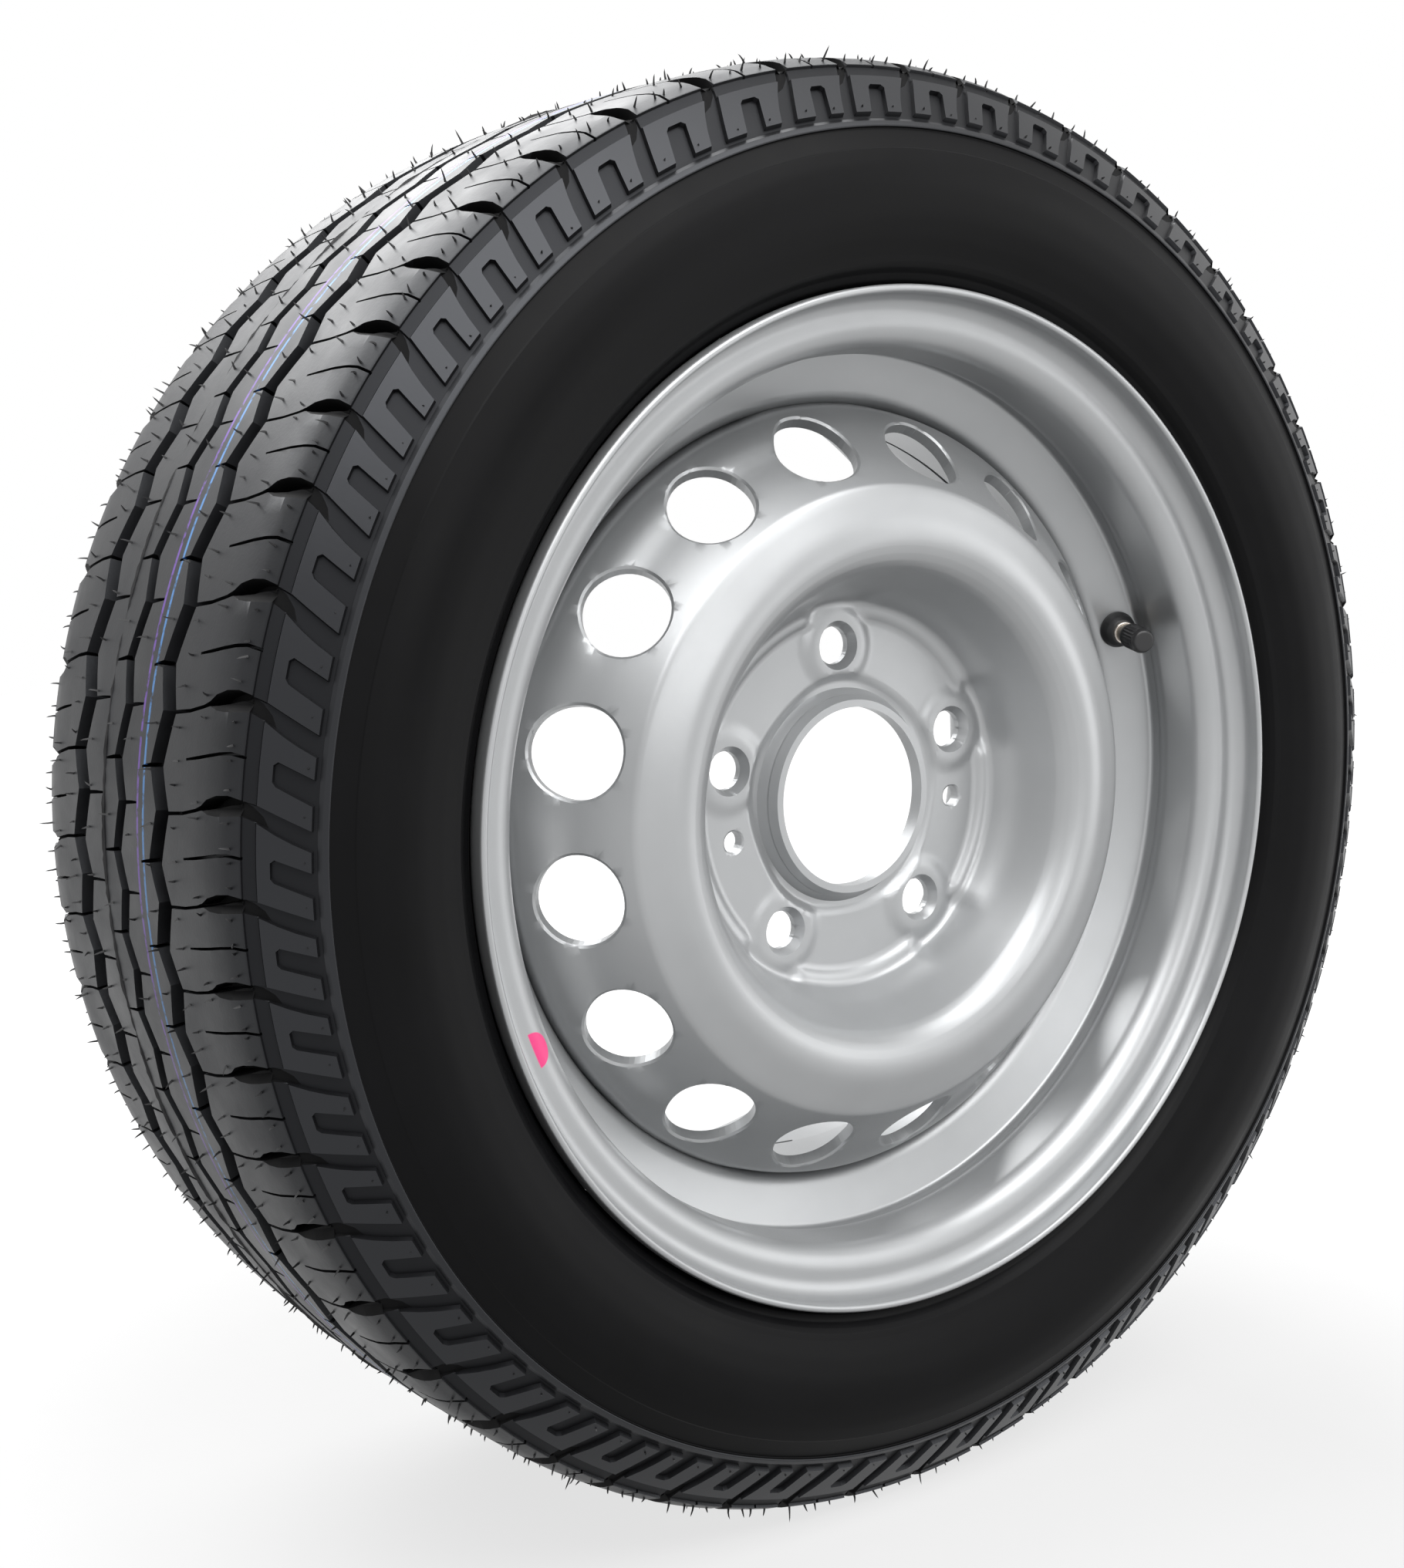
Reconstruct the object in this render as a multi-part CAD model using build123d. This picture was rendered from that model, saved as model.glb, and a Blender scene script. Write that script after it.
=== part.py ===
from build123d import *
from math import atan2, ceil, cos, degrees, hypot, radians, sin, tan
import os

# Light-trailer road wheel: radial tyre on a pressed and welded steel wheel with a snap-in valve.
# Origin at the wheel's centre, rotation axis along Y, outboard face towards -Y, Z up. Millimetres.

# Tyre section
tyre_diameter = 524.0
section_width = 196.0
section_radius = 215.0
crown_flat = 48.0
crown_width = 124.0
crown_drop = 1.7
tread_width = 156.0
shoulder_drop = 7.2
tread_thickness = 13.0
side_thickness = 7.5
pad_base_radius = 239.0
pad_base_width = 180.0
lower_side_rise = 7.0
lower_side_width = 179.0
bead_width = 16.0
bead_height = 10.0
bead_thickness = 12.0
bead_fit = 0.1

# Tread pattern: pitches of several sizes in a sequence that repeats round the tyre
pitch_sizes = (1.10, 1.14, 1.06, 1.00, 0.90, 0.90, 1.00, 0.90)
sequence_count = 7
pitch_phase = 0.25
groove_depth = 7.5
zigzag = 2.8
zigzag_share = 0.55
groove_places = (-33.0, -1.5, 34.0)
groove_widths = (9.6, 6.8, 11.6)
lateral_depth = 7.0
lateral_root_width = 1.6
lateral_width = 5.5
lateral_hook = 5.0
slot_depth = 1.6
slot_width = 8.0
slot_lean = 9.0
slot_end = 1.5
cut_margin = 3.0
end_tolerance = 0.001

# Rim, a 6J x 13 section
rim_diameter = 329.4
rim_width = 152.4
rim_thickness = 2.8
flange_height = 17.3
flange_lip = 12.8
flange_radius = 9.5
heel_radius = 6.5
seat_width = 19.0
seat_angle = 5.0
hump_height = 2.6
hump_width = 8.0
well_depth = 18.3
step_start = -46.5
well_end = 6.0
ledge_start = 20.0

# Disc
disc_thickness = 4.5
wheel_offset = 40.0
centre_bore = 66.6
collar_height = 5.2
moat_size = 82.0
moat_corner = 24.0
moat_depth = 1.8
land_diameter = 142.0
bowl_diameter = 178.0
crown_height = 37.5
crease_diameter = 228.0
crease_height = 29.0
rim_edge_drop = 4.0
disc_edge = -14.0
disc_fit = 0.1
collar_bend = 1.5
land_bend = 7.0
crown_bend = 15.0
crease_bend = 4.0
edge_bend = 8.0
bend_step = 30.0
bolt_count = 5
bolt_circle = 112.0
bolt_hole = 14.0
bolt_seat = 18.0
bolt_pad = 33.0
pad_height = 1.4
bolt_phase = 5.0
pilot_hole = 8.0
pilot_circle = 107.0
pilot_angles = (99.5, 260.5)
vent_count = 16
vent_diameter = 32.0
vent_phase = 11.4
weld_count = 4
weld_span = 50.0
weld_leg = 4.2

# Valve, along its own axis from the rim's outboard face
valve_angle = 22.0
valve_radius = 154.5
valve_lean = 23.5
valve_hole = 11.5
valve_fit = 0.15
button_diameter = 14.6
button_edge = 1.4
button_height = 6.5
button_top = 9.6
root_diameter = 18.5
root_length = 8.0
root_taper = 2.5
stem_diameter = 7.7
stem_collar = 8.6
stem_collar_length = 1.2
stem_top = 23.5
shank_diameter = 5.8
thread_bore = 5.3
thread_bore_depth = 7.0
stem_bore = 4.6
bond_fit = 0.02
cap_diameter = 10.2
cap_tip = 8.2
cap_tip_length = 2.0
cap_bottom = 13.0
cap_wall = 1.4
cap_clearance = 0.25
cap_seal = 1.0
cap_seal_hole = 3.0
seal_gap = 0.05
plug_length = 4.2
plug_depth = 0.6
barrel_diameter = 3.8
barrel_wall = 0.5
barrel_length = 9.0
barrel_lip = 0.8
gasket_length = 2.4
gasket_drop = 2.7
pin_diameter = 1.1
pin_clearance = 0.25
pin_inset = 0.3
pin_collar = 2.2
pin_collar_length = 0.8
pin_collar_drop = 0.5
cup_diameter = 3.4
cup_length = 1.8
plunger_seal = 0.7
spring_wire = 0.3
spring_turns = 5
spring_gap = 0.05

# Derived places
tyre_radius = tyre_diameter / 2
shoulder_radius = tyre_radius - shoulder_drop
seat_radius = rim_diameter / 2
flange_face = rim_width / 2
flange_top = seat_radius + flange_height
lip_face = flange_face + flange_lip
lower_side_radius = flange_top + lower_side_rise
well_radius = seat_radius - well_depth
disc_front = -wheel_offset - disc_thickness
disc_radius = well_radius - rim_thickness - disc_fit
sector_angle = 360.0 / sequence_count
slope_start = (crease_diameter / 2, disc_front - crease_height)
slope_end = (disc_radius, disc_front + rim_edge_drop)


def polar(radius, y, angle):
    """Point at a radius and at an angle from +X towards +Z, y along the axis."""
    return Vector(radius * cos(radians(angle)), y, radius * sin(radians(angle)))


def seat_height(y):
    """Radius of the bead seat's cone at a distance from the centre plane."""
    return seat_radius - (flange_face - abs(y)) * tan(radians(seat_angle))


def hump_place():
    """Distance of the safety hump's top from the centre plane."""
    return flange_face - seat_width - hump_width / 2


def turned(points):
    """Solid of revolution about Z from a section of radius and height."""
    section = Wire.make_polygon([Vector(r, 0, z) for r, z in points])
    return revolve(Face(section), Axis.Z)


# Tyre

def bead_outline():
    """Bead from the flange's top to the liner, clear of the rim by the bead's fit."""
    centre_r = flange_top - flange_radius
    centre_y = flange_face + flange_radius
    reach = flange_radius + bead_fit
    corner = reach * tan(radians(22.5))
    face = centre_y - reach
    toe_y = face - bead_width
    return [
        (centre_r + reach, centre_y),
        (centre_r + reach, centre_y - corner),
        (centre_r + corner, face),
        (seat_height(face) + heel_radius, face),
        (seat_height(face - heel_radius) + bead_fit, face - heel_radius),
        (seat_height(toe_y) + bead_fit, toe_y),
        (seat_height(toe_y) + bead_fit + bead_height, face - bead_thickness),
    ]


def half_section():
    """Outer skin, bead and liner of the inboard half, from the middle of the crown inwards."""
    crown_edge = (tyre_radius - crown_drop, crown_width / 2)
    shoulder = (shoulder_radius, tread_width / 2)
    round_mid = ((crown_edge[0] + shoulder[0] + crown_drop) / 2, (crown_edge[1] + shoulder[1]) / 2)
    pad_base = (pad_base_radius, pad_base_width / 2)
    widest = (section_radius, section_width / 2)
    lower = (lower_side_radius, lower_side_width / 2)
    liner = tyre_radius - tread_thickness
    inner_side = (section_radius, section_width / 2 - side_thickness)
    inner_shoulder = (liner - crown_drop, crown_width / 2)
    skin = Polyline((tyre_radius, 0), (tyre_radius, crown_flat / 2), crown_edge, round_mid, shoulder, pad_base)
    side = ThreePointArc(pad_base, widest, lower)
    inside = Polyline(lower, *bead_outline(), inner_side, inner_shoulder, (liner, crown_flat / 2), (liner, 0))
    return skin.edges() + side.edges() + inside.edges()


def tyre_sector():
    """One sequence of pitches of the smooth tyre, between angles of minus one sector and zero."""
    half = half_section()
    other = [edge.mirror(Plane.XZ) for edge in half]
    middle = Line((tyre_radius - tread_thickness, 0), (tyre_radius, 0)).edge()
    halves = [revolve(Face(Wire(edges + [middle])), Axis.Y, sector_angle) for edges in (half, other)]
    return halves[0].fuse(halves[1]).clean()


def pitches():
    """Start angle and length of each pitch in one sector and of its neighbours, in degrees."""
    unit = sector_angle / sum(pitch_sizes)
    start = -sector_angle - unit * pitch_sizes[-1]
    run = []
    for size in (pitch_sizes[-1],) + pitch_sizes + (pitch_sizes[0],):
        run.append((start, size * unit))
        start += size * unit
    return run


def outer_corner(start, length):
    """Angle of the corners where the zigzags lie furthest outboard."""
    return start + pitch_phase * length


def inner_corner(start, length):
    """Angle of the corners where the zigzags lie furthest inboard."""
    return start + (pitch_phase + zigzag_share) * length


def groove_section(angle, place, width):
    """Corners of a main groove's radial section at one corner of its zigzag."""
    low = tyre_radius - groove_depth
    high = tyre_radius + cut_margin
    corners = [(low, -width / 2), (low, width / 2), (high, width / 2), (high, -width / 2)]
    return [polar(r, place + y, angle) for r, y in corners]


def main_groove(place, width):
    """Flat-faced cutter for a zigzag groove that runs past both ends of the sector."""
    sections = []
    for start, length in pitches():
        sections.append(groove_section(outer_corner(start, length), place - zigzag, width))
        sections.append(groove_section(inner_corner(start, length), place + zigzag, width))
    faces = [sections[0], sections[-1]]
    for (a, b, c, d), (e, f, g, h) in zip(sections, sections[1:]):
        faces += [[a, b, f, e], [c, d, h, g], [b, c, f], [f, g, c], [d, a, h], [h, e, a]]
    return Solid(Shell([Face(Wire.make_polygon(points)) for points in faces]))


def prism(points, plane, depth):
    """Cutter with a flat floor at a depth below a plane."""
    floor = Wire.make_polygon([Vector(x, y, -depth) for x, y in points])
    return Solid.extrude(plane.from_local_coords(Face(floor)), plane.z_dir * (depth + cut_margin))


def lateral_groove(angle, side):
    """Shoulder groove from a main groove's corner, widening and hooking to the tread's edge."""
    place = groove_places[0] if side < 0 else groove_places[-1]
    start = abs(place) + zigzag
    edge = tread_width / 2 + cut_margin
    middle = (start + edge) / 2
    outline = [
        (-lateral_root_width / 2, start),
        (lateral_hook / 2 - lateral_root_width, middle),
        (lateral_hook / 2, edge),
        (lateral_hook / 2 + lateral_width, edge),
        (lateral_hook + lateral_root_width, middle),
        (lateral_root_width / 2, start),
    ]
    plane = Plane(polar(tyre_radius, 0, angle), x_dir=polar(1, 0, angle + 90), z_dir=polar(1, 0, angle))
    return prism([(side * u, -side * v) for u, v in outline], plane, lateral_depth)


def shoulder_slot(angle, side):
    """Shallow slot down the shoulder from a lateral groove, leaving a pad on each side."""
    drop = shoulder_radius - pad_base_radius
    run = (pad_base_width - tread_width) / 2
    lean = degrees(atan2(drop, run))
    length = hypot(drop, run) - slot_end
    normal = polar(cos(radians(lean)), side * sin(radians(lean)), angle)
    edge = polar(shoulder_radius, side * tread_width / 2, angle)
    plane = Plane(edge, x_dir=polar(1, 0, angle + 90), z_dir=normal)
    top = lateral_hook / 2
    outline = [
        (top, -cut_margin),
        (top - slot_lean, length),
        (top - slot_lean + slot_width, length),
        (top + lateral_width, -cut_margin),
    ]
    return prism([(side * u, -side * v) for u, v in outline], plane, slot_depth)


def tyre():
    """Tyre sewn from equal sectors, each cut with one sequence of the tread pattern."""
    sector = tyre_sector()
    sector = sector - [main_groove(place, width) for place, width in zip(groove_places, groove_widths)]
    cuts = []
    for start, length in pitches():
        for side, angle in ((-1, outer_corner(start, length)), (1, inner_corner(start, length))):
            cuts += [lateral_groove(angle, side), shoulder_slot(angle, side)]
    sector = sector - cuts
    ends = [polar(1, 0, 90), polar(1, 0, 90 - sector_angle)]
    skin = [face for face in sector.faces() if not is_end(face, ends)]
    turns = [k * sector_angle for k in range(sequence_count)]
    return Solid(Shell([face.rotate(Axis.Y, turn) for turn in turns for face in skin]))


def is_end(face, normals):
    """Whether a face is one of the sector's cut ends, flat and through the axis."""
    if face.geom_type != GeomType.PLANE:
        return False
    for normal in normals:
        parallel = face.normal_at().cross(normal).length < end_tolerance
        if parallel and abs(face.center().dot(normal)) < end_tolerance:
            return True
    return False


# Rim

def step_foot():
    """Where the outboard step's tyre-side face meets the well."""
    return step_start + (step_top() - well_radius) * tan(radians(valve_lean))


def step_top():
    """Radius of the safety humps' tops, where the outboard step begins."""
    return seat_height(hump_place()) + hump_height


def flange_outline(side):
    """Flange on one side from its lip round to the safety hump."""
    bevel = flange_radius * (1 - tan(radians(45 / 2)))
    seat_end = flange_face - seat_width
    heel_end = flange_face - heel_radius
    return [
        (flange_top, side * lip_face),
        (flange_top, side * (flange_face + bevel)),
        (flange_top - bevel, side * flange_face),
        (seat_radius + heel_radius, side * flange_face),
        (seat_height(heel_end), side * heel_end),
        (seat_height(seat_end), side * seat_end),
        (step_top(), side * hump_place()),
    ]


def rim_outline():
    """Tyre side of the rim from lip to lip, with the well between the humps."""
    well = [
        (step_top(), step_start),
        (well_radius, step_foot()),
        (well_radius, well_end),
        (seat_height(hump_place()), ledge_start),
        (seat_height(hump_place()), hump_place() - hump_width / 2),
    ]
    return flange_outline(-1) + well + flange_outline(1)[::-1]


def sheet(outline, thickness):
    """Closed section of a sheet of even thickness, to the left of its outline."""
    points = [Vector(point) for point in outline]
    ways = [(b - a).normalized().rotate(Axis.Z, 90) for a, b in zip(points, points[1:])]
    other = []
    for point, before, after in zip(points, ways[:1] + ways, ways + ways[-1:]):
        mitre = before + after
        other.append(point + mitre * (thickness / mitre.dot(after)))
    return Face(Wire.make_polygon(points + other[::-1]))


def rim():
    ring = revolve(sheet(rim_outline(), rim_thickness), Axis.Y)
    hole = Cylinder(valve_hole / 2, 6 * rim_thickness)
    return ring - hole.moved(valve_frame().location)


# Disc

def disc_outline():
    """Outboard side of the disc from the centre collar to its edge in the rim's well."""
    collar = centre_bore / 2 + disc_thickness
    points = [
        (collar, disc_front - collar_height),
        (collar, disc_front),
        (land_diameter / 2, disc_front),
        (bowl_diameter / 2, disc_front - crown_height),
        slope_start,
        slope_end,
        (disc_radius, disc_edge),
    ]
    return rounded(points, (collar_bend, land_bend, crown_bend, crease_bend, edge_bend))


def rounded(points, radii):
    """Corners of a section rounded by flats, each turning by no more than a bend's step."""
    line = [Vector(points[0])]
    for before, corner, after, radius in zip(points, points[1:], points[2:], radii):
        corner = Vector(corner)
        back = (Vector(before) - corner).normalized()
        ahead = (Vector(after) - corner).normalized()
        turn = 180 - back.get_angle(ahead)
        flats = ceil(turn / bend_step)
        reach = radius * tan(radians(turn / 2))
        middle = corner + (back + ahead).normalized() * radius / cos(radians(turn / 2))
        start = corner + back * reach - middle
        way = 1 if back.cross(ahead).Z < 0 else -1
        for k in range(flats + 1):
            line.append(middle + start.rotate(Axis.Z, way * turn * k / flats))
    line.append(Vector(points[-1]))
    return line


def bolt_angles():
    return [90 + bolt_phase + k * 360 / bolt_count for k in range(bolt_count)]


def along_axis(solid, radius, y, angle):
    """A solid made about Z, turned outboard and placed at a radius and an angle."""
    frame = Plane(polar(radius, y, angle), x_dir=polar(1, 0, angle), z_dir=(0, -1, 0))
    return solid.moved(frame.location)


def bolt_pads():
    """Raised seats round the bolt holes."""
    lift = pad_height + disc_thickness / 2
    cone = Cone(bolt_pad / 2 + lift, bolt_pad / 2, lift, align=(Align.CENTER, Align.CENTER, Align.MIN))
    return [along_axis(cone, bolt_circle / 2, disc_front + disc_thickness / 2, a) for a in bolt_angles()]


def bolt_holes():
    """Through holes with conical seats."""
    deep = 3 * disc_thickness
    hole = Cylinder(bolt_hole / 2, 2 * deep)
    sink = (bolt_seat - bolt_hole) / 2 / tan(radians(30))
    seat = Cone(bolt_hole / 2, bolt_seat / 2, sink, align=(Align.CENTER, Align.CENTER, Align.MAX))
    face = disc_front - pad_height
    cuts = []
    for angle in bolt_angles():
        cuts.append(along_axis(hole, bolt_circle / 2, face, angle))
        cuts.append(along_axis(seat, bolt_circle / 2, face, angle))
    return cuts


def pilot_holes():
    """Two plain holes, level with each other when a bolt is on top."""
    hole = Cylinder(pilot_hole / 2, 4 * disc_thickness)
    first = bolt_angles()[0]
    return [along_axis(hole, pilot_circle / 2, disc_front, first + turn) for turn in pilot_angles]


def moat():
    """Shallow hollow round the collar, five-sided with its corners towards the bolts."""
    width = moat_size / 2 / cos(radians(180 / bolt_count))
    outline = fillet(RegularPolygon(width, bolt_count).vertices(), moat_corner)
    inner = Circle(centre_bore / 2 + disc_thickness + collar_bend / 2)
    ring = extrude(outline - inner, moat_depth + 2 * pad_height)
    return along_axis(ring, 0, disc_front + moat_depth, bolt_angles()[0])


def vent_holes():
    """Ring of round holes square to the outer slope."""
    run = (slope_end[0] - slope_start[0], slope_end[1] - slope_start[1])
    middle = ((slope_start[0] + slope_end[0]) / 2, (slope_start[1] + slope_end[1]) / 2)
    size = hypot(*run)
    cuts = []
    for k in range(vent_count):
        angle = 90 + vent_phase + k * 360 / vent_count
        normal = polar(run[1] / size, -run[0] / size, angle)
        frame = Plane(polar(middle[0], middle[1], angle), x_dir=polar(1, 0, angle + 90), z_dir=normal)
        cuts.append(Cylinder(vent_diameter / 2, 5 * disc_thickness).moved(frame.location))
    return cuts


def wheel_disc():
    pressing = revolve(sheet(disc_outline(), disc_thickness), Axis.Y) + bolt_pads()
    return pressing - moat() - bolt_holes() - pilot_holes() - vent_holes()


def disc_welds():
    """Fillet welds between the disc's inner edge and the rim's well."""
    outer = disc_radius
    section = Wire.make_polygon([
        Vector(outer, disc_edge, 0),
        Vector(outer, disc_edge + weld_leg, 0),
        Vector(outer - weld_leg, disc_edge, 0),
    ])
    bead = revolve(Face(section), Axis.Y, weld_span)
    return Compound([bead.rotate(Axis.Y, k * 360 / weld_count) for k in range(weld_count)])


# Valve

def valve_frame():
    """Valve axis: square to the rim's step, pointing outboard and inwards."""
    drop = (step_top() - valve_radius) * tan(radians(valve_lean))
    y = step_start + drop - rim_thickness / cos(radians(valve_lean))
    axis = polar(-sin(radians(valve_lean)), -cos(radians(valve_lean)), valve_angle)
    return Plane(polar(valve_radius, y, valve_angle), x_dir=polar(1, 0, valve_angle + 90), z_dir=axis)


def barrel_top():
    return stem_top - plug_depth - plug_length


def barrel_bottom():
    return barrel_top() - barrel_length


def valve_body():
    """Moulded rubber: inner root, neck in the rim's hole and outer button."""
    inner = shank_diameter / 2 + bond_fit
    back = -rim_thickness - valve_fit
    neck = valve_hole / 2 - valve_fit
    return turned([
        (inner, back - root_length),
        (root_diameter / 2 - root_taper, back - root_length),
        (root_diameter / 2, back - root_taper / 2),
        (root_diameter / 2, back),
        (neck, back),
        (neck, valve_fit),
        (button_diameter / 2, valve_fit),
        (button_diameter / 2, button_edge),
        (button_top / 2, button_height),
        (inner, button_height),
    ])


def valve_stem():
    """Metal insert: shank in the rubber, collar on it and the threaded neck."""
    bottom = -rim_thickness - valve_fit - root_length
    seat = button_height + bond_fit
    return turned([
        (stem_bore / 2, bottom),
        (shank_diameter / 2, bottom),
        (shank_diameter / 2, seat),
        (stem_collar / 2, seat),
        (stem_collar / 2, seat + stem_collar_length),
        (stem_diameter / 2, seat + stem_collar_length),
        (stem_diameter / 2, stem_top),
        (thread_bore / 2, stem_top),
        (thread_bore / 2, stem_top - thread_bore_depth),
        (stem_bore / 2, stem_top - thread_bore_depth - (thread_bore - stem_bore) / 2),
    ])


def valve_cap():
    bore = stem_diameter / 2 + cap_clearance
    roof = stem_top + seal_gap + cap_seal + seal_gap
    top = roof + cap_wall
    return turned([
        (bore, cap_bottom),
        (cap_diameter / 2, cap_bottom),
        (cap_diameter / 2, top - cap_tip_length),
        (cap_tip / 2, top),
        (0, top),
        (0, roof),
        (bore, roof),
    ])


def cap_washer():
    low = stem_top + seal_gap
    outer = stem_diameter / 2 + cap_clearance - seal_gap
    return turned([
        (cap_seal_hole / 2, low),
        (outer, low),
        (outer, low + cap_seal),
        (cap_seal_hole / 2, low + cap_seal),
    ])


def core_plug():
    low = barrel_top()
    outer = thread_bore / 2 - bond_fit
    inner = pin_diameter / 2 + pin_clearance
    return turned([(inner, low), (outer, low), (outer, low + plug_length), (inner, low + plug_length)])


def core_barrel():
    """Tube under the plug with a lip that carries the spring and the plunger's seat."""
    top = barrel_top() - bond_fit
    low = barrel_bottom()
    outer = barrel_diameter / 2
    inner = outer - barrel_wall
    hole = pin_diameter / 2 + pin_clearance
    return turned([
        (hole, low),
        (outer, low),
        (outer, top),
        (inner, top),
        (inner, low + barrel_lip),
        (hole, low + barrel_lip),
    ])


def core_gasket():
    top = barrel_top() - gasket_drop
    inner = barrel_diameter / 2 + bond_fit
    outer = stem_bore / 2 - bond_fit
    return turned([(inner, top - gasket_length), (outer, top - gasket_length), (outer, top), (inner, top)])


def collar_bottom():
    """Underside of the pin's collar, where the spring pushes."""
    return barrel_top() - pin_collar_drop - pin_collar_length


def core_pin():
    low = barrel_bottom() - seal_gap - plunger_seal - cup_length
    collar = collar_bottom()
    inner = pin_diameter / 2
    return turned([
        (0, low),
        (inner, low),
        (inner, collar),
        (pin_collar / 2, collar),
        (pin_collar / 2, collar + pin_collar_length),
        (inner, collar + pin_collar_length),
        (inner, stem_top - pin_inset),
        (0, stem_top - pin_inset),
    ])


def plunger_ring(top, length, outer):
    """Ring held on the pin below the barrel."""
    inner = pin_diameter / 2 + bond_fit
    return turned([(inner, top - length), (outer, top - length), (outer, top), (inner, top)])


def core_spring():
    """Coil of square wire round the pin, from the barrel's lip to the pin's collar."""
    low = barrel_bottom() + barrel_lip + spring_gap + spring_wire / 2
    high = collar_bottom() - spring_gap - spring_wire / 2
    radius = (pin_diameter / 2 + barrel_diameter / 2 - barrel_wall) / 2
    path = Helix((high - low) / spring_turns, high - low, radius)
    wire = Plane(path @ 0, x_dir=(1, 0, 0), z_dir=path % 0) * Rectangle(spring_wire, spring_wire)
    return sweep(wire, path=path, is_frenet=True).moved(Location((0, 0, low)))


def in_rim(solid):
    return solid.moved(valve_frame().location)


def plunger_pieces():
    """Seal and cup at the pin's foot."""
    seal_top = barrel_bottom() - seal_gap
    seal = plunger_ring(seal_top, plunger_seal, cup_diameter / 2)
    cup = plunger_ring(seal_top - plunger_seal, cup_length, cup_diameter / 2)
    return seal, cup


def pieces():
    """Every piece by its node name."""
    seal, cup = plunger_pieces()
    return {
        "tyre": tyre(),
        "rim": rim(),
        "wheel_disc": wheel_disc(),
        "disc_welds": disc_welds(),
        "valve_body": in_rim(valve_body()),
        "valve_stem": in_rim(valve_stem()),
        "valve_cap": in_rim(valve_cap()),
        "cap_washer": in_rim(cap_washer()),
        "core_plug": in_rim(core_plug()),
        "core_barrel": in_rim(core_barrel()),
        "core_gasket": in_rim(core_gasket()),
        "core_pin": in_rim(core_pin()),
        "core_spring": in_rim(core_spring()),
        "plunger_seal": in_rim(seal),
        "plunger_cup": in_rim(cup),
    }


os.makedirs("parts", exist_ok=True)
for name, solid in pieces().items():
    export_step(solid, f"parts/{name}.step")
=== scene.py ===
import math
import random

import bmesh
import bpy
import numpy as np
from mathutils import Matrix, Vector
from mathutils.geometry import delaunay_2d_cdt


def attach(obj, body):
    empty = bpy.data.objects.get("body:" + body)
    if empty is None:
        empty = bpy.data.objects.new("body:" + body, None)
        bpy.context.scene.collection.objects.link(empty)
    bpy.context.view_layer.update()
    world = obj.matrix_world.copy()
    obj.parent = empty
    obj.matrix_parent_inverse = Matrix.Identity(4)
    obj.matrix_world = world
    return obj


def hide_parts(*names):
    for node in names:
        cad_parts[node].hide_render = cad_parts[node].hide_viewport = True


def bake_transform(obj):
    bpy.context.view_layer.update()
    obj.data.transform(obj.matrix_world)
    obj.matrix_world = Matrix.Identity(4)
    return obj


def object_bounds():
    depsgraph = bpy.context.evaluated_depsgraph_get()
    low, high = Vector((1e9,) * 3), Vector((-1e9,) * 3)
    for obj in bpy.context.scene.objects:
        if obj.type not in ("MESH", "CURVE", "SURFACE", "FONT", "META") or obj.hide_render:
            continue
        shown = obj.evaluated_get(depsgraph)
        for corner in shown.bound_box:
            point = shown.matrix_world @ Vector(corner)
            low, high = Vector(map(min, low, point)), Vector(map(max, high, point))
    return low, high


# Light-trailer wheel: tyre with its full tread pattern, pressed steel rim and disc, snap-in valve.
# Shapes are worked out in millimetres about the wheel's centre, axis along Y, outboard towards -Y.

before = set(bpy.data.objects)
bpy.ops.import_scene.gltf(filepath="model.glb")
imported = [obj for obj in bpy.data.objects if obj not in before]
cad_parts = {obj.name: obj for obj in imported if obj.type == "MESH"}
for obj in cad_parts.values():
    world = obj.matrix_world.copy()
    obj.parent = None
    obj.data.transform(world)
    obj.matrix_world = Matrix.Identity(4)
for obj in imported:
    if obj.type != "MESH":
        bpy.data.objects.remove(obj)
cad_low, cad_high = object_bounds()
MM = 0.001
rng = random.Random(7)


# Small geometry helpers

def fillet(points, radii, step):
    """Polyline with its inner corners rounded; radii has one value per inner corner."""
    out = [np.array(points[0], float)]
    for k in range(1, len(points) - 1):
        a, b, c = (np.array(points[k + j], float) for j in (-1, 0, 1))
        u, v = (a - b) / np.linalg.norm(a - b), (c - b) / np.linalg.norm(c - b)
        half = math.acos(max(-1.0, min(1.0, float(u @ v)))) / 2
        radius = radii[k - 1]
        if radius <= 0 or half > math.pi / 2 - 0.01:
            out.append(b)
            continue
        back = radius / math.tan(half)
        middle = b + (u + v) / np.linalg.norm(u + v) * radius / math.sin(half)
        first, last = b + u * back, b + v * back
        e1 = (first - middle) / radius
        e2 = (last - middle) - ((last - middle) @ e1) * e1
        e2 = e2 / np.linalg.norm(e2)
        sweep = math.pi - 2 * half
        count = max(2, int(sweep / step) + 1)
        for j in range(count + 1):
            t = sweep * j / count
            out.append(middle + radius * (e1 * math.cos(t) + e2 * math.sin(t)))
    out.append(np.array(points[-1], float))
    return np.array(out)


def normals_of(path):
    """Unit normals of an open path, to the left of its direction."""
    d = np.gradient(path, axis=0)
    d = d / np.linalg.norm(d, axis=1)[:, None]
    return np.stack([-d[:, 1], d[:, 0]], axis=1)


def lengths_of(path):
    """Length along a path up to each of its points."""
    return np.concatenate([[0.0], np.cumsum(np.linalg.norm(np.diff(path, axis=0), axis=1))])


def around(r, y, angle):
    """Points at radius r and place y along the axis, at angles from +X towards +Z."""
    return np.stack([r * np.cos(angle), y + 0 * angle, r * np.sin(angle)], axis=-1)


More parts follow.
